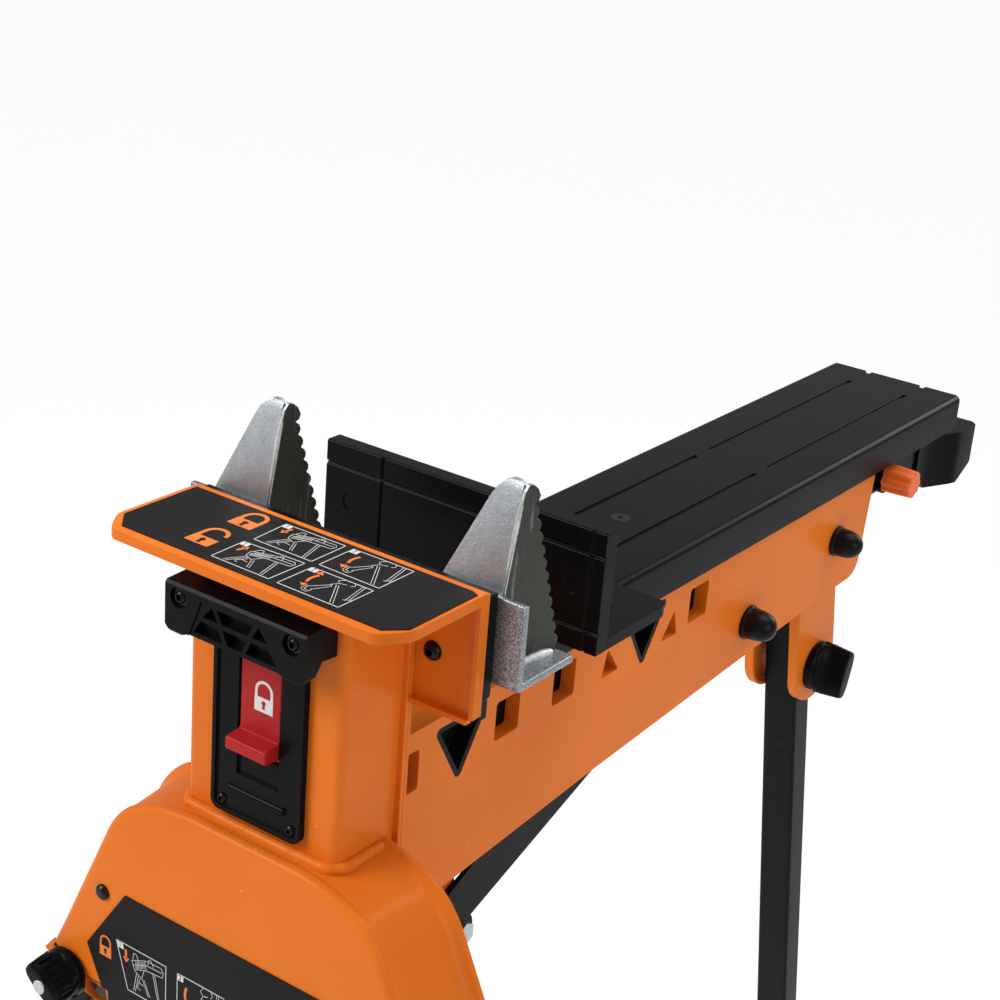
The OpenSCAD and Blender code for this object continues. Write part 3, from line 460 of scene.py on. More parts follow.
# Blades: a pale metal bead down each bend is a painted highlight on the rounded bend, and a rough weld holds
# the foot
blade = {"right": 88.4, "left": -56.2, "front": 12.65, "foot": -47.0, "rise": 47.0, "slope": 9.0,
         "bendRadius": 1.6, "weldRadius": 2.5, "weldHeight": -43.9}
weldReaches = [(2.6, 0.8), (9, 0.5), (17, 0.2), (26, 0), (36.5, -0.3)]


def bladeBeads(node, x):
    y, foot, rise = blade["front"], blade["foot"], blade["rise"]
    bend = [(x + 0.2, y + 0.9, foot), (x + 0.2, y + 0.9, -5), (x + 1.7, y + 10.2, rise - 4.6),
            (x + 2.1, y + 12.2, rise - 1.8)]
    # the bend bead's pale metal is a painted highlight on the rounded bend
    bead(node + "Bend", bend, blade["bendRadius"], node, 7, 60.0, weldAndHighlightMetal)
    slope = math.tan(math.radians(blade["slope"]))
    path = [(x + 2.2 + reach * slope, y + 0.6 + reach, blade["weldHeight"] + lift)
            for reach, lift in weldReaches]
    bead(node + "Weld", path, blade["weldRadius"], node, 11, 1.5, weldAndHighlightMetal)


bladeBeads("log_blade_r", blade["right"])
bladeBeads("log_blade_l", blade["left"])
print("head and welds made")

# Apron: a pressed shell, drawn from one outline that grows towards the back and turns out into a rim
apron = {
    "front": -60.0, "depth": 50.0, "spread": 0.06, "wall": 1.6, "bend": 3.4,
    "openBelow": -250.0, "openBeyond": 62.0, "brow": -142.0, "hem": -330.0,
    "shoulder": [(36, -142), (52, -144.4), (66, -149.2), (78.4, -156.2), (87.6, -167), (94.5, -181.2)],
    "foot": [(130.6, -260), (129, -262.4), (125.8, -262.8), (118.8, -260.6), (112.5, -264.3), (108, -271.2),
             (105.6, -277.4), (99.3, -281), (94, -286), (80, -330)],
}
apronSide = [(4.8, 0.0), (5.6, -0.5), (6.4, -0.9), (8, -0.9), (20, -0.7), (34, -0.4), (41, 0.0), (44, 0.7),
             (45.8, 1.7), (46.8, 2.9), (47.4, 3.6), (48.2, 3.8), (50, 3.8), (50, 2.0), (48.6, 1.8), (46.6, 0),
             (44, -1.2), (41, -1.7), (34, -2.0), (20, -2.3), (6.4, -2.4), (4.6, -1.6)]  # depth and growth
legSlot = {"pivot": (92, -210), "outer": 70.1, "inner": 59.9, "start": -3.2, "sweep": 42.4, "steps": 24}


def apronSteps():  # over the front bend, back along the side, out into the rim and home along the inside
    bend, inside = apron["bend"], apron["bend"] - apron["wall"]
    quarter = [math.radians(turn) for turn in range(0, 91, 15)]
    outer = [(bend * (1 - math.cos(turn)), bend * (math.sin(turn) - 1)) for turn in quarter]
    inner = [(bend - inside * math.cos(turn), inside * math.sin(turn) - bend) for turn in reversed(quarter)]
    return outer + apronSide + inner


def curveThrough(points, pieces):  # a smooth curve that passes every point
    def between(a, b, c, d, t):
        square, cube = 2 * a - 5 * b + 4 * c - d, 3 * b - a - 3 * c + d
        return 0.5 * (2 * b + (c - a) * t + square * t * t + cube * t ** 3)

    whole = [points[0]] + list(points) + [points[-1]]
    spots = []
    for four in zip(whole, whole[1:], whole[2:], whole[3:]):
        spots += [tuple(between(*values, step / pieces) for values in zip(*four)) for step in range(pieces)]
    return spots + [points[-1]]


def apronOutline():  # down the right side from the middle of the brow, and up the left
    edge = (Vector(apron["shoulder"][-1]), Vector(apron["foot"][0]))
    side = [(x, apron["brow"]) for x in (0, 9, 18, 27)] + curveThrough(apron["shoulder"], 6)
    side += [tuple(edge[0].lerp(edge[1], share)) for share in (0.25, 0.5, 0.75)]
    side += curveThrough(apron["foot"], 3)
    side += [(x, apron["hem"]) for x in (60, 40, 20, 0)]
    return [Vector(spot) for spot in side] + [Vector((-x, z)) for x, z in reversed(side[1:-1])]


def slotOutline(side):
    (x, z), turns = legSlot["pivot"], []
    for step in range(legSlot["steps"] + 1):
        turns.append(math.radians(legSlot["start"] + legSlot["sweep"] * step / legSlot["steps"]))
    arcs = ((legSlot["outer"], turns), (legSlot["inner"], list(reversed(turns))))
    return [(side * (x + radius * math.sin(turn)), z - radius * math.cos(turn))
            for radius, arc in arcs for turn in arc]


def apronFace(rim):  # the flat face, with a curved slot for each leg's bolt
    sheet = bpy.data.curves.new("apronFace", "CURVE")
    sheet.dimensions, sheet.fill_mode, sheet.extrude = "2D", "BOTH", apron["wall"] / 2
    for outline in (rim, slotOutline(1), slotOutline(-1)):
        spline = sheet.splines.new("POLY")
        spline.points.add(len(outline) - 1)
        spline.use_cyclic_u = True
        for point, (x, z) in zip(spline.points, outline):
            point.co = (x, z, 0, 1)
    shape = curveShape("apronFace", sheet)
    upright = Matrix.Translation((0, apron["front"] + apron["wall"] / 2, 0)) @ towardsFront
    bmesh.ops.transform(shape, matrix=upright, verts=shape.verts)
    return shape


def apronShell():
    loop = apronOutline()
    count = len(loop)
    outward = []
    for index in range(count):
        run = (loop[(index + 1) % count] - loop[index - 1]).normalized()
        outward.append(Vector((-run.y, run.x)))
    for way, spot in zip(outward, loop):  # tight corners at the foot grow less
        if abs(spot.x) > 90 and spot.y < -255:
            way *= 0.25
    shape = bmesh.new()
    rings = []
    for depth, grow in apronSteps():
        stretch, y = 1 + apron["spread"] * depth / apron["depth"], apron["front"] + depth
        grown = [spot + way * grow for spot, way in zip(loop, outward)]
        rings.append([shape.verts.new((spot.x * stretch, y, spot.y)) for spot in grown])
    for inner, outer in zip(rings, rings[1:]):
        for index in range(count):
            after = (index + 1) % count
            shape.faces.new((inner[index], inner[after], outer[after], outer[index]))
    opened = []
    for face in shape.faces:
        x, y, z = face.calc_center_median()
        if y > apron["front"] + 4 and z < apron["openBelow"] and abs(x) > apron["openBeyond"]:
            opened.append(face)
    bmesh.ops.delete(shape, geom=opened, context="FACES")
    rim = [tuple(spot - way * apron["bend"]) for spot, way in zip(loop, outward)]
    shape = join([shape, apronFace(rim)])
    bmesh.ops.remove_doubles(shape, verts=shape.verts, dist=0.01)
    bmesh.ops.recalc_face_normals(shape, faces=shape.faces)
    bmesh.ops.transform(shape, matrix=home, verts=shape.verts)
    keep("apronBody", shape, "orange_paint", "apron", ("apron",), 32)


apronShell()
print("apron made")

# Rubber caps on the axle ends: place along the beam and up, width and length
axleCaps = [(351, -150, 1.0, 0.84), (466, -130, 0.94, 0.80)]
capProfile = [(4.2, 0.02), (10.4, 0.02), (11, 0.5), (11, 2.2), (10.7, 2.9), (10.25, 3.4), (10.1, 4.2),
              (10.0, 9), (9.8, 12), (9.2, 15.2), (8.2, 18), (6.8, 20.4), (5.2, 22), (3.4, 23), (1.6, 23.6),
              (0, 23.75)]
shapes = []
for y, z, wide, tall in axleCaps:
    for side in (1, -1):
        turn = Matrix.Translation((48 * side, y, z)) @ quarterTurn("Y", 90 * side)
        shapes.append(lathe(capProfile, turn @ Matrix.Diagonal((wide, wide, tall, 1))))
keep("axleCaps", join(shapes), "black_rubber", "caps", ("caps",), 60)

for node in ("roller_front", "roller_rear"):
    shape = nodeShape(node)
    soften(shape, 0.0006)
    keep(node + "Body", shape, "white_nylon", node, (node,))


# Screws: a domed button with a round socket
def buttonScrew(place, radius, height, socket):
    profile = [(0, height * 0.25), (socket * 0.5, height * 0.25), (socket, height * 0.3), (socket, height),
               (socket + 0.35, height + 0.02), (radius * 0.7, height * 0.82), (radius * 0.9, height * 0.5),
               (radius, height * 0.18), (radius, 0.02)]
    return lathe(profile, Matrix.Translation(place) @ towardsFront, 36)


screwSets = {
    "guard_screws": {"places": ((-34.6, -65.6, -21), (34.6, -65.6, -21)), "size": (3.5, 2.2, 1.7)},
    "plate_screws": {"places": ((-22, -48.7, -130.4), (22, -48.7, -130.4)), "size": (2.9, 1.5, 1.3)},
    "head_screws": {"places": ((-62, 1, -38.5), (62, 1, -38.5)), "size": (5, 3.4, 1.9)},
}
washerProfile = [(2.4, 0), (4.7, 0), (4.9, 0.2), (4.9, 0.5), (4.5, 0.75), (2.4, 0.75)]
for node, screws in screwSets.items():
    shapes = [buttonScrew(place, *screws["size"]) for place in screws["places"]]
    if node == "guard_screws":  # washers in the counterbores
        for place in screws["places"]:
            shapes.append(lathe(washerProfile, Matrix.Translation(place) @ towardsFront, 36))
    keep(node + "Body", join(shapes), "black_steel", node, (node,), 50)
print("caps, rollers and screws made")

# Tail knob: eight soft lobes round a steel core
tailKnob = {"radius": 9.3, "lobe": 1.5, "lobes": 8, "place": (44.9, 543, -106.8), "core": (64.6, 543, -106.8),
            "lifts": [(8, 0.97), (8, 0.965), (3.4, 0.97), (1.1, 0.9)]}


def lobedKnob():
    shape = bmesh.new()
    for vert in bmesh.ops.create_circle(shape, segments=96, radius=1.0, cap_ends=True)["verts"]:
        angle = math.atan2(vert.co.y, vert.co.x)
        wave = (0.5 + 0.5 * math.cos(tailKnob["lobes"] * angle)) ** 0.8
        vert.co *= tailKnob["radius"] + tailKnob["lobe"] * wave
    for lift, scale in tailKnob["lifts"]:
        face = max(shape.faces, key=lambda item: item.calc_center_median().z)
        moved = raiseFace(shape, face, lift)
        if face.is_valid:
            bmesh.ops.delete(shape, geom=[face], context="FACES_ONLY")
        centre = Vector((0, 0, moved[0].co.z))
        bmesh.ops.scale(shape, vec=(scale, scale, 1), space=Matrix.Translation(-centre), verts=moved)
    bmesh.ops.recalc_face_normals(shape, faces=shape.faces)
    place = home @ Matrix.Translation(tailKnob["place"]) @ alongX
    bmesh.ops.transform(shape, matrix=place, verts=shape.verts)
    keep("tailKnobBody", shape, "orange_plastic", "lock_knob", ("lock_knob",), 60)
    core = [(0, 0), (3.3, 0), (3.7, 0.35), (3.7, 0.6), (2.4, 0.8), (0, 0.5)]
    shape = lathe(core, Matrix.Translation(tailKnob["core"]) @ alongX)
    keep("tailKnobCore", shape, "bright_steel", "lock_knob", crease=50)


lobedKnob()

# Wing knobs: a round foot from which a ribbed bar rises in a hollow curve
frontKnob = {"radius": 14, "total": 20, "length": 29, "width": 13, "ribs": 6, "pivot": (92, -33, -210),
             "splay": 23.0, "arm": (0, -28.1, -65), "twist": 15.0}
rearKnob = {"radius": 18, "total": 26, "length": 38, "width": 14.4, "ribs": 0, "place": (21.8, 521, -252),
            "twist": -17.0}
ribSection = ((-0.75, -0.5), (-0.45, 0.55), (0.45, 0.55), (0.75, -0.5))


def tube(shape, rings):  # side faces between rings of equally many corners
    for lower, upper in zip(rings, rings[1:]):
        for index, corner in enumerate(lower):
            after = (index + 1) % len(lower)
            shape.faces.new((corner, lower[after], upper[after], upper[index]))


def knobBar(knob, place):
    radius, total, half, side = knob["radius"], knob["total"], knob["length"] / 2, knob["width"] / 2
    widths = [(4, radius * 0.86), (6.6, radius * 0.8), (8.2, radius * 0.68), (10.4, side + 1.6),
              (13, side + 0.5), (16, side - 0.1), (total - 1.6, side - 0.8), (total - 0.5, side - 1.4),
              (total, side - 3.2)]
    bar = bmesh.new()
    rings = []
    corner = 3.2  # how square the bar's ends are
    for lift, wide in widths:
        reach = half * (1 - 0.1 * (lift - 4) / (total - 4))
        reach -= 2.0 if lift == total else 0.5 if lift > total - 1 else 0
        spots = []
        for turn in range(48):
            angle = math.tau * turn / 48
            x, y = math.cos(angle), math.sin(angle)
            power = (abs(x) ** corner + abs(y) ** corner) ** (-1 / corner)
            limit = wide
            if lift < 9:  # low down the bar stays inside the round foot
                limit = math.sqrt(max(0.0, (radius * 0.97) ** 2 - min(reach, abs(x * power * reach)) ** 2))
            spots.append(bar.verts.new((x * power * reach, max(-limit, min(limit, y * power * wide)), lift)))
        rings.append(spots)
    tube(bar, rings)
    bar.faces.new(rings[-1])
    bar.faces.new(list(reversed(rings[0])))
    bmesh.ops.transform(bar, matrix=home @ place, verts=bar.verts)
    return bar


def gripRib(knob, place, face, index):  # one rib that climbs the hollow curve
    radius, total, side = knob["radius"], knob["total"], knob["width"] / 2
    x = (index - (knob["ribs"] - 1) / 2) * (knob["length"] * 0.84 / knob["ribs"])
    edge = radius * 0.93
    foot = min(radius * 0.8, math.sqrt(edge ** 2 - x * x) if abs(x) < edge else side)
    path = [(max(foot, side), 6.9), (max(foot * 0.86, side + 0.6), 8.2), (side + 1.5, 10.6),
            (side + 0.45, 13.2), (side - 0.1, 16), (side - 0.5, total - 3.4)]
    rib = bmesh.new()
    rows = []
    for reach, lift in path:
        rows.append([rib.verts.new((x + shift, face * (reach + rise), lift)) for shift, rise in ribSection])
    tube(rib, rows)
    rib.faces.new(rows[0])
    rib.faces.new(rows[-1])
    bmesh.ops.recalc_face_normals(rib, faces=rib.faces)
    bmesh.ops.transform(rib, matrix=home @ place, verts=rib.verts)
    return rib


def wingKnob(node, knob, place):
    radius = knob["radius"]
    foot = [(4.1, 0.02), (radius - 0.8, 0.02), (radius, 0.8), (radius, 3.6), (radius - 0.5, 5),
            (radius - 1.6, 6.2), (radius - 3, 6.9), (4.1, 7.0)]
    shapes = [lathe(foot, place), knobBar(knob, place)]
    shapes += [gripRib(knob, place, face, index) for face in (1, -1) for index in range(knob["ribs"])]
    whole = join(shapes)
    bmesh.ops.recalc_face_normals(whole, faces=whole.faces)
    keep(node + "Body", whole, "black_plastic", node, (node,), 40)


for side, node in ((1, "front_knob_r"), (-1, "front_knob_l")):
    place = Matrix.Diagonal((side, 1, 1, 1)) @ Matrix.Translation(frontKnob["pivot"])
    place = place @ quarterTurn("Y", -frontKnob["splay"]) @ Matrix.Translation(frontKnob["arm"])
    wingKnob(node, frontKnob, place @ towardsFront @ quarterTurn("Z", frontKnob["twist"]))
place = Matrix.Translation(rearKnob["place"]) @ quarterTurn("X", rearKnob["twist"]) @ alongX
wingKnob("rear_knob", rearKnob, place)
print("knobs made")

# Switch plate: the round bar under the slot
barProfile = [(0, 0), (1.2, 0.3), (2.0, 1.1), (2.2, 2.2), (2.2, 35.8), (2.0, 36.9), (1.2, 37.7), (0, 38)]
shape = lathe(barProfile, Matrix.Translation((-19, -48.4, -122)) @ alongX, 24)
keep("plateBar", shape, "black_plastic", "switch_plate", crease=60)

# Slide switch: a red tongue with a rounded thumb ledge, and its block behind the plate
switch = {"face": -47.8, "half": 12.6,
          "ledge": [(0, -43), (0, -86.6), (-0.8, -87.8), (-9.2, -88.6), (-10.2, -89.6), (-10.2, -94.6),
                    (-9.4, -95.6), (1, -96.4)]}


def slideSwitch():
    face = switch["face"]
    side = [(face + 2.2, -42)] + [(face + y, z) for y, z in switch["ledge"]] + [(face + 2.2, -96.4)]
    sideways = Matrix(((0, 0, 1, 0), (1, 0, 0, 0), (0, 1, 0, 0), (0, 0, 0, 1)))
    shape = slab(side, 2 * switch["half"], Matrix.Translation((-switch["half"], 0, 0)) @ sideways)
    soften(shape, 0.0007, 3, 24.0, lambda edge: edge.is_convex)
    back = bmesh.new()
    blocks = [((-15.6, face + 2.2, -99), (15.6, face + 4.4, -38)),
              ((-5, face + 4.2, -97), (5, face + 9.8, -50))]
    for low, high in blocks:
        centre = [(a + b) / 2 for a, b in zip(low, high)]
        size = [b - a for a, b in zip(low, high)]
        place = home @ Matrix.Translation(centre) @ Matrix.Diagonal((*size, 1))
        bmesh.ops.create_cube(back, size=1.0, matrix=place)
    keep("switchTongue", join([shape, back]), "red_plastic", "red_slider", ("red_slider",))


slideSwitch()

# Printed marks: thin strips of ink just proud of what they are printed on
ink = {"thick": 0.12, "frame": 0.42, "fine": 0.26}


class Print:  # collects flat marks on one plane, in millimetres
    def __init__(self, plane):
        self.plane = plane
        self.shape = bmesh.new()

    def line(self, start, end, width):
        start, end = Vector(start), Vector(end)
        run = end - start
        turn = Matrix.Rotation(math.atan2(run.y, run.x), 4, "Z")
        place = Matrix.Translation((*((start + end) / 2), ink["thick"] / 2)) @ turn
        size = Matrix.Diagonal((run.length + width * 0.9, width, ink["thick"], 1))
        bmesh.ops.create_cube(self.shape, size=1.0, matrix=place @ size)

    def path(self, points, width):
        for start, end in zip(points, points[1:]):
            self.line(start, end, width)

    def ring(self, centre, radius, start, end, width, steps=16):  # one curved band
        turns = [math.radians(start + (end - start) * i / steps) for i in range(steps + 1)]
        arcs = ((radius + width / 2, turns), (radius - width / 2, list(reversed(turns))))
        self.field([(centre[0] + reach * math.cos(turn), centre[1] + reach * math.sin(turn))
                    for reach, arc in arcs for turn in arc])

    def field(self, outline):
        face = self.shape.faces.new([self.shape.verts.new((x, y, 0)) for x, y in outline])
        raiseFace(self.shape, face, ink["thick"])

    def box(self, left, low, right, high):
        self.field([(left, low), (right, low), (right, high), (left, high)])

    def arrow(self, start, end, width, head):
        start, end = Vector(start), Vector(end)
        ahead = (end - start).normalized()
        across = Vector((-ahead.y, ahead.x))
        neck = end - ahead * head
        self.line(start, neck, width)
        self.field([tuple(neck + across * head * 0.8), tuple(end), tuple(neck - across * head * 0.8)])

    def padlock(self, centre, size, opened, tall=1.0, thick=0.13):  # its shackle closed or swung clear
        x, y = centre
        half, thick = size * 0.5, size * thick
        reach = half * 0.97 - thick / 2
        brow, crown = y + size * 0.1 * tall, y + size * (0.5 if opened else 0.36) * tall
        self.box(x - half, y - size * 0.5 * tall, x + half, brow)
        self.ring((x, crown), reach, 0, 180, thick)
        for side in ((-1,) if opened else (-1, 1)):
            self.box(x + side * reach - thick / 2, brow, x + side * reach + thick / 2, crown)

    def keyhole(self, centre, size):  # a dark keyhole on a lock's body
        x, y, radius = centre[0], centre[1] - size * 0.13, size * 0.11
        turns = [math.radians(turn) for turn in range(-60, 241, 20)]
        spots = [(x + radius * math.cos(turn), y + radius * math.sin(turn)) for turn in turns]
        self.field(spots + [(x - size * 0.08, y - size * 0.27), (x + size * 0.08, y - size * 0.27)])

    def badge(self, spot, wide, tall):  # the pale square that carries a frame's number
        self.field([spot(0, 1 - tall), spot(wide, 1 - tall), spot(wide, 1), spot(0, 1)])

    def sketch(self, spot, strokes):  # a frame with fine strokes in it
        self.path([spot(0, 0), spot(1, 0), spot(1, 1), spot(0, 1), spot(0, 0)], ink["frame"])
        for points in strokes:
            self.path([spot(*point) for point in points], ink["fine"])

    def done(self, name, finish, node):
        bmesh.ops.recalc_face_normals(self.shape, faces=self.shape.faces)
        bmesh.ops.transform(self.shape, matrix=home @ self.plane, verts=self.shape.verts)
        return keep(name, self.shape, finish, node)


def digit(name, text, plane, centre, size, node):
    curve = bpy.data.curves.new(name, "FONT")
    curve.body, curve.size, curve.extrude = text, size, 0.02
    curve.align_x, curve.align_y = "CENTER", "CENTER"
    shape = curveShape(name, curve)
    bmesh.ops.remove_doubles(shape, verts=shape.verts, dist=1e-5)
    place = home @ plane @ Matrix.Translation((*centre, ink["thick"] + 0.03))
    bmesh.ops.transform(shape, matrix=place, verts=shape.verts)
    keep(name, shape, "panel_print", node)


def quad(corners):  # maps 0 to 1 across and up onto four corners: low left, low right, high right, high left
    lowLeft, lowRight, highRight, highLeft = (Vector(corner) for corner in corners)
    return lambda u, v: tuple(lowLeft.lerp(lowRight, u).lerp(highLeft.lerp(highRight, u), v))


# The whole stand with its jaw and legs
standStrokes = [
    [(0.27, 0.72), (0.6, 0.88), (0.9, 0.9)], [(0.33, 0.56), (0.58, 0.66), (0.93, 0.7)],
    [(0.3, 0.64), (0.6, 0.78), (0.92, 0.8)], [(0.27, 0.72), (0.3, 0.52), (0.44, 0.42), (0.52, 0.62)],
    [(0.9, 0.9), (0.95, 0.82), (0.93, 0.7)], [(0.56, 0.86), (0.58, 0.66)], [(0.34, 0.5), (0.17, 0.06)],
    [(0.38, 0.47), (0.22, 0.06)], [(0.46, 0.42), (0.56, 0.1)], [(0.5, 0.42), (0.6, 0.1)],
    [(0.72, 0.66), (0.82, 0.04)], [(0.76, 0.66), (0.86, 0.04)], [(0.4, 0.4), (0.3, 0.18), (0.36, 0.14)],
    [(0.36, 0.3), (0.46, 0.28)], [(0.62, 0.8), (0.66, 0.94), (0.7, 0.94), (0.74, 0.82)],
    [(0.3, 0.76), (0.34, 0.9), (0.4, 0.9), (0.42, 0.78)],
]
# The column, its treadle and a rear leg
pedalStrokes = [
    [(0.56, 0.99), (0.5, 0.88), (0.56, 0.8), (0.5, 0.66), (0.55, 0.6)], [(0.56, 0.8), (0.66, 0.84)],
    [(0.56, 0.72), (0.84, 0.04)], [(0.6, 0.72), (0.89, 0.04)], [(0.72, 0.99), (0.76, 0.9), (0.72, 0.84)],
    [(0.84, 0.99), (0.93, 0.3)], [(0.88, 0.99), (0.97, 0.34)], [(0.9, 0.3), (0.99, 0.4)],
    [(0.52, 0.66), (0.36, 0.34)], [(0.55, 0.6), (0.42, 0.22)],
    [(0.36, 0.34), (0.3, 0.3), (0.3, 0.16), (0.36, 0.1), (0.42, 0.1), (0.44, 0.2), (0.42, 0.26)],
    [(0.34, 0.28), (0.34, 0.18), (0.4, 0.16)],
]


def standSketch(sheet, arrows, spot, downwards):
    sheet.sketch(spot, standStrokes)
    for step in range(7):
        low, high = (0.34 + step * 0.032, 0.58 + step * 0.016), (0.36 + step * 0.03, 0.74 + step * 0.012)
        sheet.line(spot(*low), spot(*high), ink["fine"])
    high, low = spot(0.17, 0.86), spot(0.12, 0.6)
    arrows.arrow(*((high, low) if downwards else (low, high)), 1.5, 2.9)


def pedalSketch(sheet, arrows, spot, downwards):
    sheet.sketch(spot, pedalStrokes)
    arrows.ring(spot(0.46, 0.62), 9.2, 152, 208, 1.5, 10)
    tip, neck = (spot(0.25, 0.2), spot(0.235, 0.4)) if downwards else (spot(0.2, 0.98), spot(0.2, 0.78))
    if not downwards:
        arrows.arrow(spot(0.235, 0.42), spot(0.26, 0.24), 0.2, 2.6)
    arrows.arrow(neck, tip, 0.2, 3.0)


def printPanel(name, node, surface, marks, locks, lock, number):  # sketches, numbers and padlocks
    plane, above = surface(0.0), surface(ink["thick"])
    sheet, arrows, dark = Print(plane), Print(plane), Print(above)
    for title, (second, downwards, corners) in marks.items():
        spot = quad(corners)
        (pedalSketch if second else standSketch)(sheet, arrows, spot, downwards)
        sheet.badge(spot, *number["badge"])
        digit(title + "Number", "2" if second else "1", plane, spot(*number["spot"]), number["size"], node)
    for centre, opened in locks:
        arrows.padlock(centre, lock["size"], opened, lock["tall"], lock["thick"])
        dark.keyhole(centre, lock["size"])
    sheet.done(name + "Lines", whiteInk, node)
    arrows.done(name + "Arrows", orangeInk, node)
    dark.done(name + "Keyholes", "panel_print", node)


topMarks = {
    "backFirst": (False, True, [(-23.2, -30.1), (12.3, -30.1), (12.0, -5.4), (-24.6, -5.9)]),
    "backSecond": (True, True, [(17.0, -30.2), (52.6, -30.5), (52.5, -5.0), (16.9, -5.4)]),
    "frontFirst": (False, False, [(-24.0, -57.9), (11.2, -58.1), (11.6, -33.8), (-24.6, -35.4)]),
    "frontSecond": (True, False, [(16.6, -58.4), (52.4, -58.5), (52.6, -34.3), (16.8, -34.6)]),
}
printPanel("topPanel", "top_panel", lambda lift: Matrix.Translation((0, 0, 0.6 + lift)), topMarks,
           (((-39.0, -17.0), False), ((-39.6, -45.4), True)), {"size": 14.5, "tall": 0.95, "thick": 0.15},
           {"badge": (0.13, 0.16), "spot": (0.065, 0.92), "size": 4.2})
print("top panel printed")

# The same sketches on the apron's panel, mirrored about its middle
apronMarks = {
    "apronFirst": (False, True, [(-73.0, -260.8), (-46.0, -260.8), (-46.0, -233.8), (-81.6, -233.8)]),
    "apronSecond": (True, True, [(-38.0, -260.8), (-6.0, -260.8), (-6.0, -233.8), (-38.0, -233.8)]),
    "apronThird": (False, False, [(6.0, -260.8), (38.0, -260.8), (38.0, -233.8), (6.0, -233.8)]),
    "apronFourth": (True, False, [(46.0, -260.8), (73.0, -260.8), (81.6, -233.8), (46.0, -233.8)]),
}
printPanel("apronPanel", "apron_panel", lambda lift: Matrix.Translation((0, -60.8 - lift, 0)) @ towardsFront,
           apronMarks, (((-89.5, -243.0), False), ((89.5, -243.0), True)),
           {"size": 8.4, "tall": 1.2, "thick": 0.13},
           {"badge": (0.13, 0.14), "spot": (0.065, 0.93), "size": 4.0})
print("apron panel printed")

lockSpot, lockSize = (2.0, -68.6), 11.5  # the white padlock on the red switch
lock = Print(Matrix.Translation((0, switch["face"], 0)) @ towardsFront)
dark = Print(Matrix.Translation((0, switch["face"] - ink["thick"], 0)) @ towardsFront)
lock.padlock(lockSpot, lockSize, False, 1.1)
dark.keyhole(lockSpot, lockSize)
lock.done("switchPadlock", whiteInk, "red_slider")
dark.done("switchKeyhole", "red_plastic", "red_slider")

keep("returnSpringBody", nodeShape("return_spring"), "bright_steel", "return_spring", ("return_spring",), 60)
shape = nodeShape("tray_screw")
soften(shape, 0.0003)
keep("trayScrewBody", shape, "black_steel", "tray_screw", ("tray_screw",))

# Stage: a pale floor under soft lamps
stage = {"radius": 40.0, "pale": 0.86, "glow": 1.04, "shown": 0.9, "air": 0.40}


def studioFloor():
    recipe = Recipe("studioFloor")
    tree = recipe.tree
    seen = Wire(recipe, tree.nodes.new("ShaderNodeLightPath").outputs["Is Camera Ray"])
    matt = tree.nodes.new("ShaderNodeBsdfDiffuse")
    glow = tree.nodes.new("ShaderNodeEmission")
    blend = tree.nodes.new("ShaderNodeMixShader")
    out = tree.nodes.new("ShaderNodeOutputMaterial")
    matt.inputs["Color"].default_value = tone(stage["pale"], stage["pale"], stage["pale"])
    glow.inputs["Strength"].default_value = stage["glow"]
    tree.links.new((seen * stage["shown"]).socket, blend.inputs[0])
    tree.links.new(matt.outputs[0], blend.inputs[1])
    tree.links.new(glow.outputs[0], blend.inputs[2])
    tree.links.new(blend.outputs[0], out.inputs["Surface"])
    shape = bmesh.new()
    bmesh.ops.create_circle(shape, segments=64, radius=stage["radius"], cap_ends=True)
    mesh = bpy.data.meshes.new("studioFloor")
    shape.to_mesh(mesh)
    shape.free()
    mesh.materials.append(recipe.material)
    floor = bpy.data.objects.new("studioFloor", mesh)
    bpy.context.scene.collection.objects.link(floor)


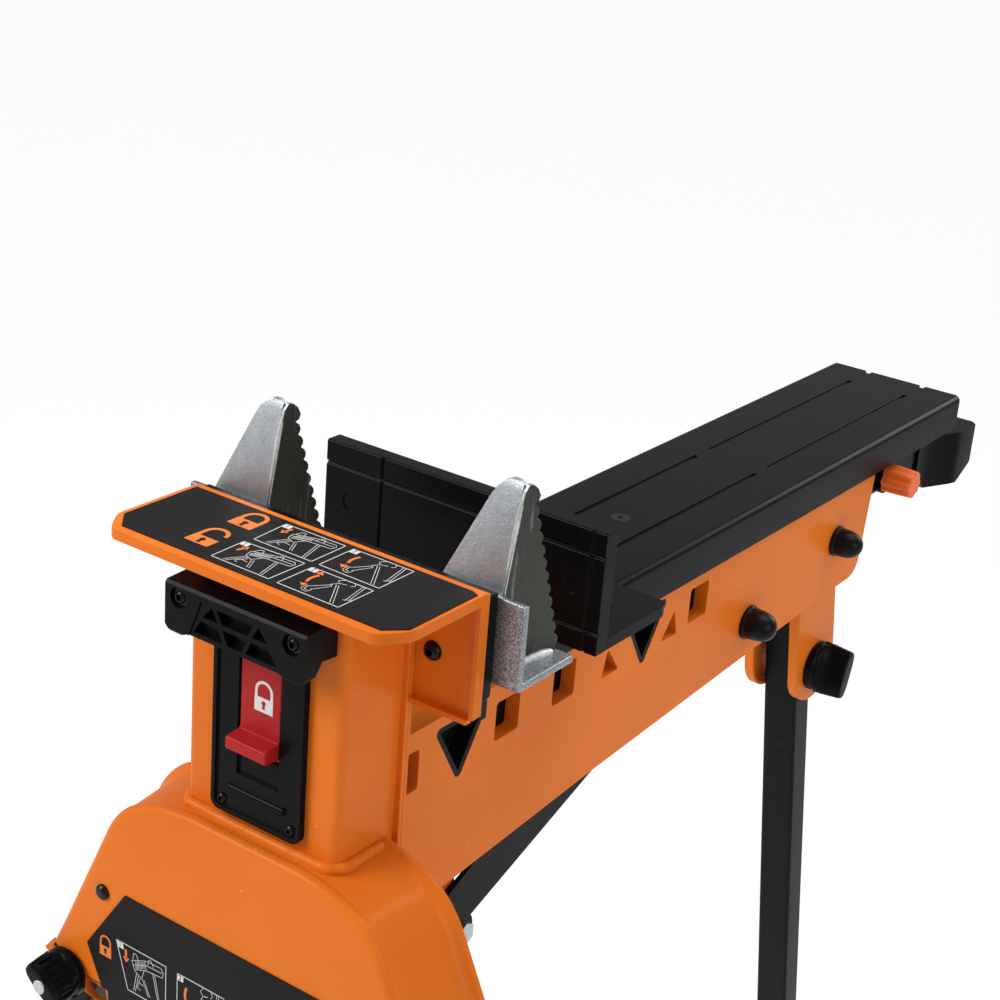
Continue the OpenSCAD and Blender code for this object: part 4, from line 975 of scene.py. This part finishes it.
def studioAir():  # white to the camera and through glass, softer as a light
    world = bpy.data.worlds.new("studioAir")
    bpy.context.scene.world = world
    world.use_nodes = True
    air = world.node_tree
    air.nodes.clear()
    path = air.nodes.new("ShaderNodeLightPath")
    largest = air.nodes.new("ShaderNodeMath")
    largest.operation = "MAXIMUM"
    mixture = air.nodes.new("ShaderNodeMix")
    background = air.nodes.new("ShaderNodeBackground")
    out = air.nodes.new("ShaderNodeOutputWorld")
    air.links.new(path.outputs["Is Camera Ray"], largest.inputs[0])
    air.links.new(path.outputs["Is Transmission Ray"], largest.inputs[1])
    air.links.new(largest.outputs[0], mixture.inputs[0])
    background.inputs["Color"].default_value = tone(1, 1, 1)
    mixture.inputs[2].default_value = stage["air"]
    mixture.inputs[3].default_value = 1.0
    air.links.new(mixture.outputs[0], background.inputs["Strength"])
    air.links.new(background.outputs[0], out.inputs["Surface"])


studioFloor()
studioAir()
lamps = {
    "keyLamp": {"place": (-1.6, -2.0, 2.5), "size": 1.5, "power": 62.0},
    "sideLamp": {"place": (2.4, -0.6, 1.7), "size": 1.4, "power": 16.0},
    "topLamp": {"place": (0.2, 0.6, 3.0), "size": 1.8, "power": 30.0},
    "backLamp": {"place": (0.6, 2.6, 1.8), "size": 1.2, "power": 18.0},
}
aim = Vector((0.0, 0.0, 0.85))
for name, lamp in lamps.items():
    light = bpy.data.lights.new(name, "AREA")
    light.shape, light.size, light.energy = "SQUARE", lamp["size"], lamp["power"]
    holder = bpy.data.objects.new(name, light)
    holder.location = lamp["place"]
    holder.rotation_euler = (aim - Vector(lamp["place"])).to_track_quat("-Z", "Y").to_euler()
    bpy.context.scene.collection.objects.link(holder)

# Camera: stands where the photograph was taken from
view = {"azimuth": 34.24, "elevation": 22.2, "roll": 4.66, "lens": 71.685, "eye": (549.8, -670.7, 378.1)}
azimuth, elevation, roll = (math.radians(view[key]) for key in ("azimuth", "elevation", "roll"))
level = math.cos(elevation)
back = Vector((math.sin(azimuth) * level, -math.cos(azimuth) * level, math.sin(elevation)))
right = Vector((math.cos(azimuth), math.sin(azimuth), 0))
up = back.cross(right)
tiltedRight = math.cos(roll) * right + math.sin(roll) * up
tiltedUp = math.cos(roll) * up - math.sin(roll) * right
cameraData = bpy.data.cameras.new("camera")
cameraData.lens, cameraData.sensor_width, cameraData.clip_start = view["lens"], 36.0, 0.02
camera = bpy.data.objects.new("camera", cameraData)
turned = Matrix((tiltedRight, tiltedUp, back)).transposed().to_4x4()
camera.matrix_world = Matrix.Translation(home @ Vector(view["eye"])) @ turned
bpy.context.scene.collection.objects.link(camera)
bpy.context.scene.camera = camera
bpy.context.scene.view_settings.view_transform = "Standard"
print("stage set")
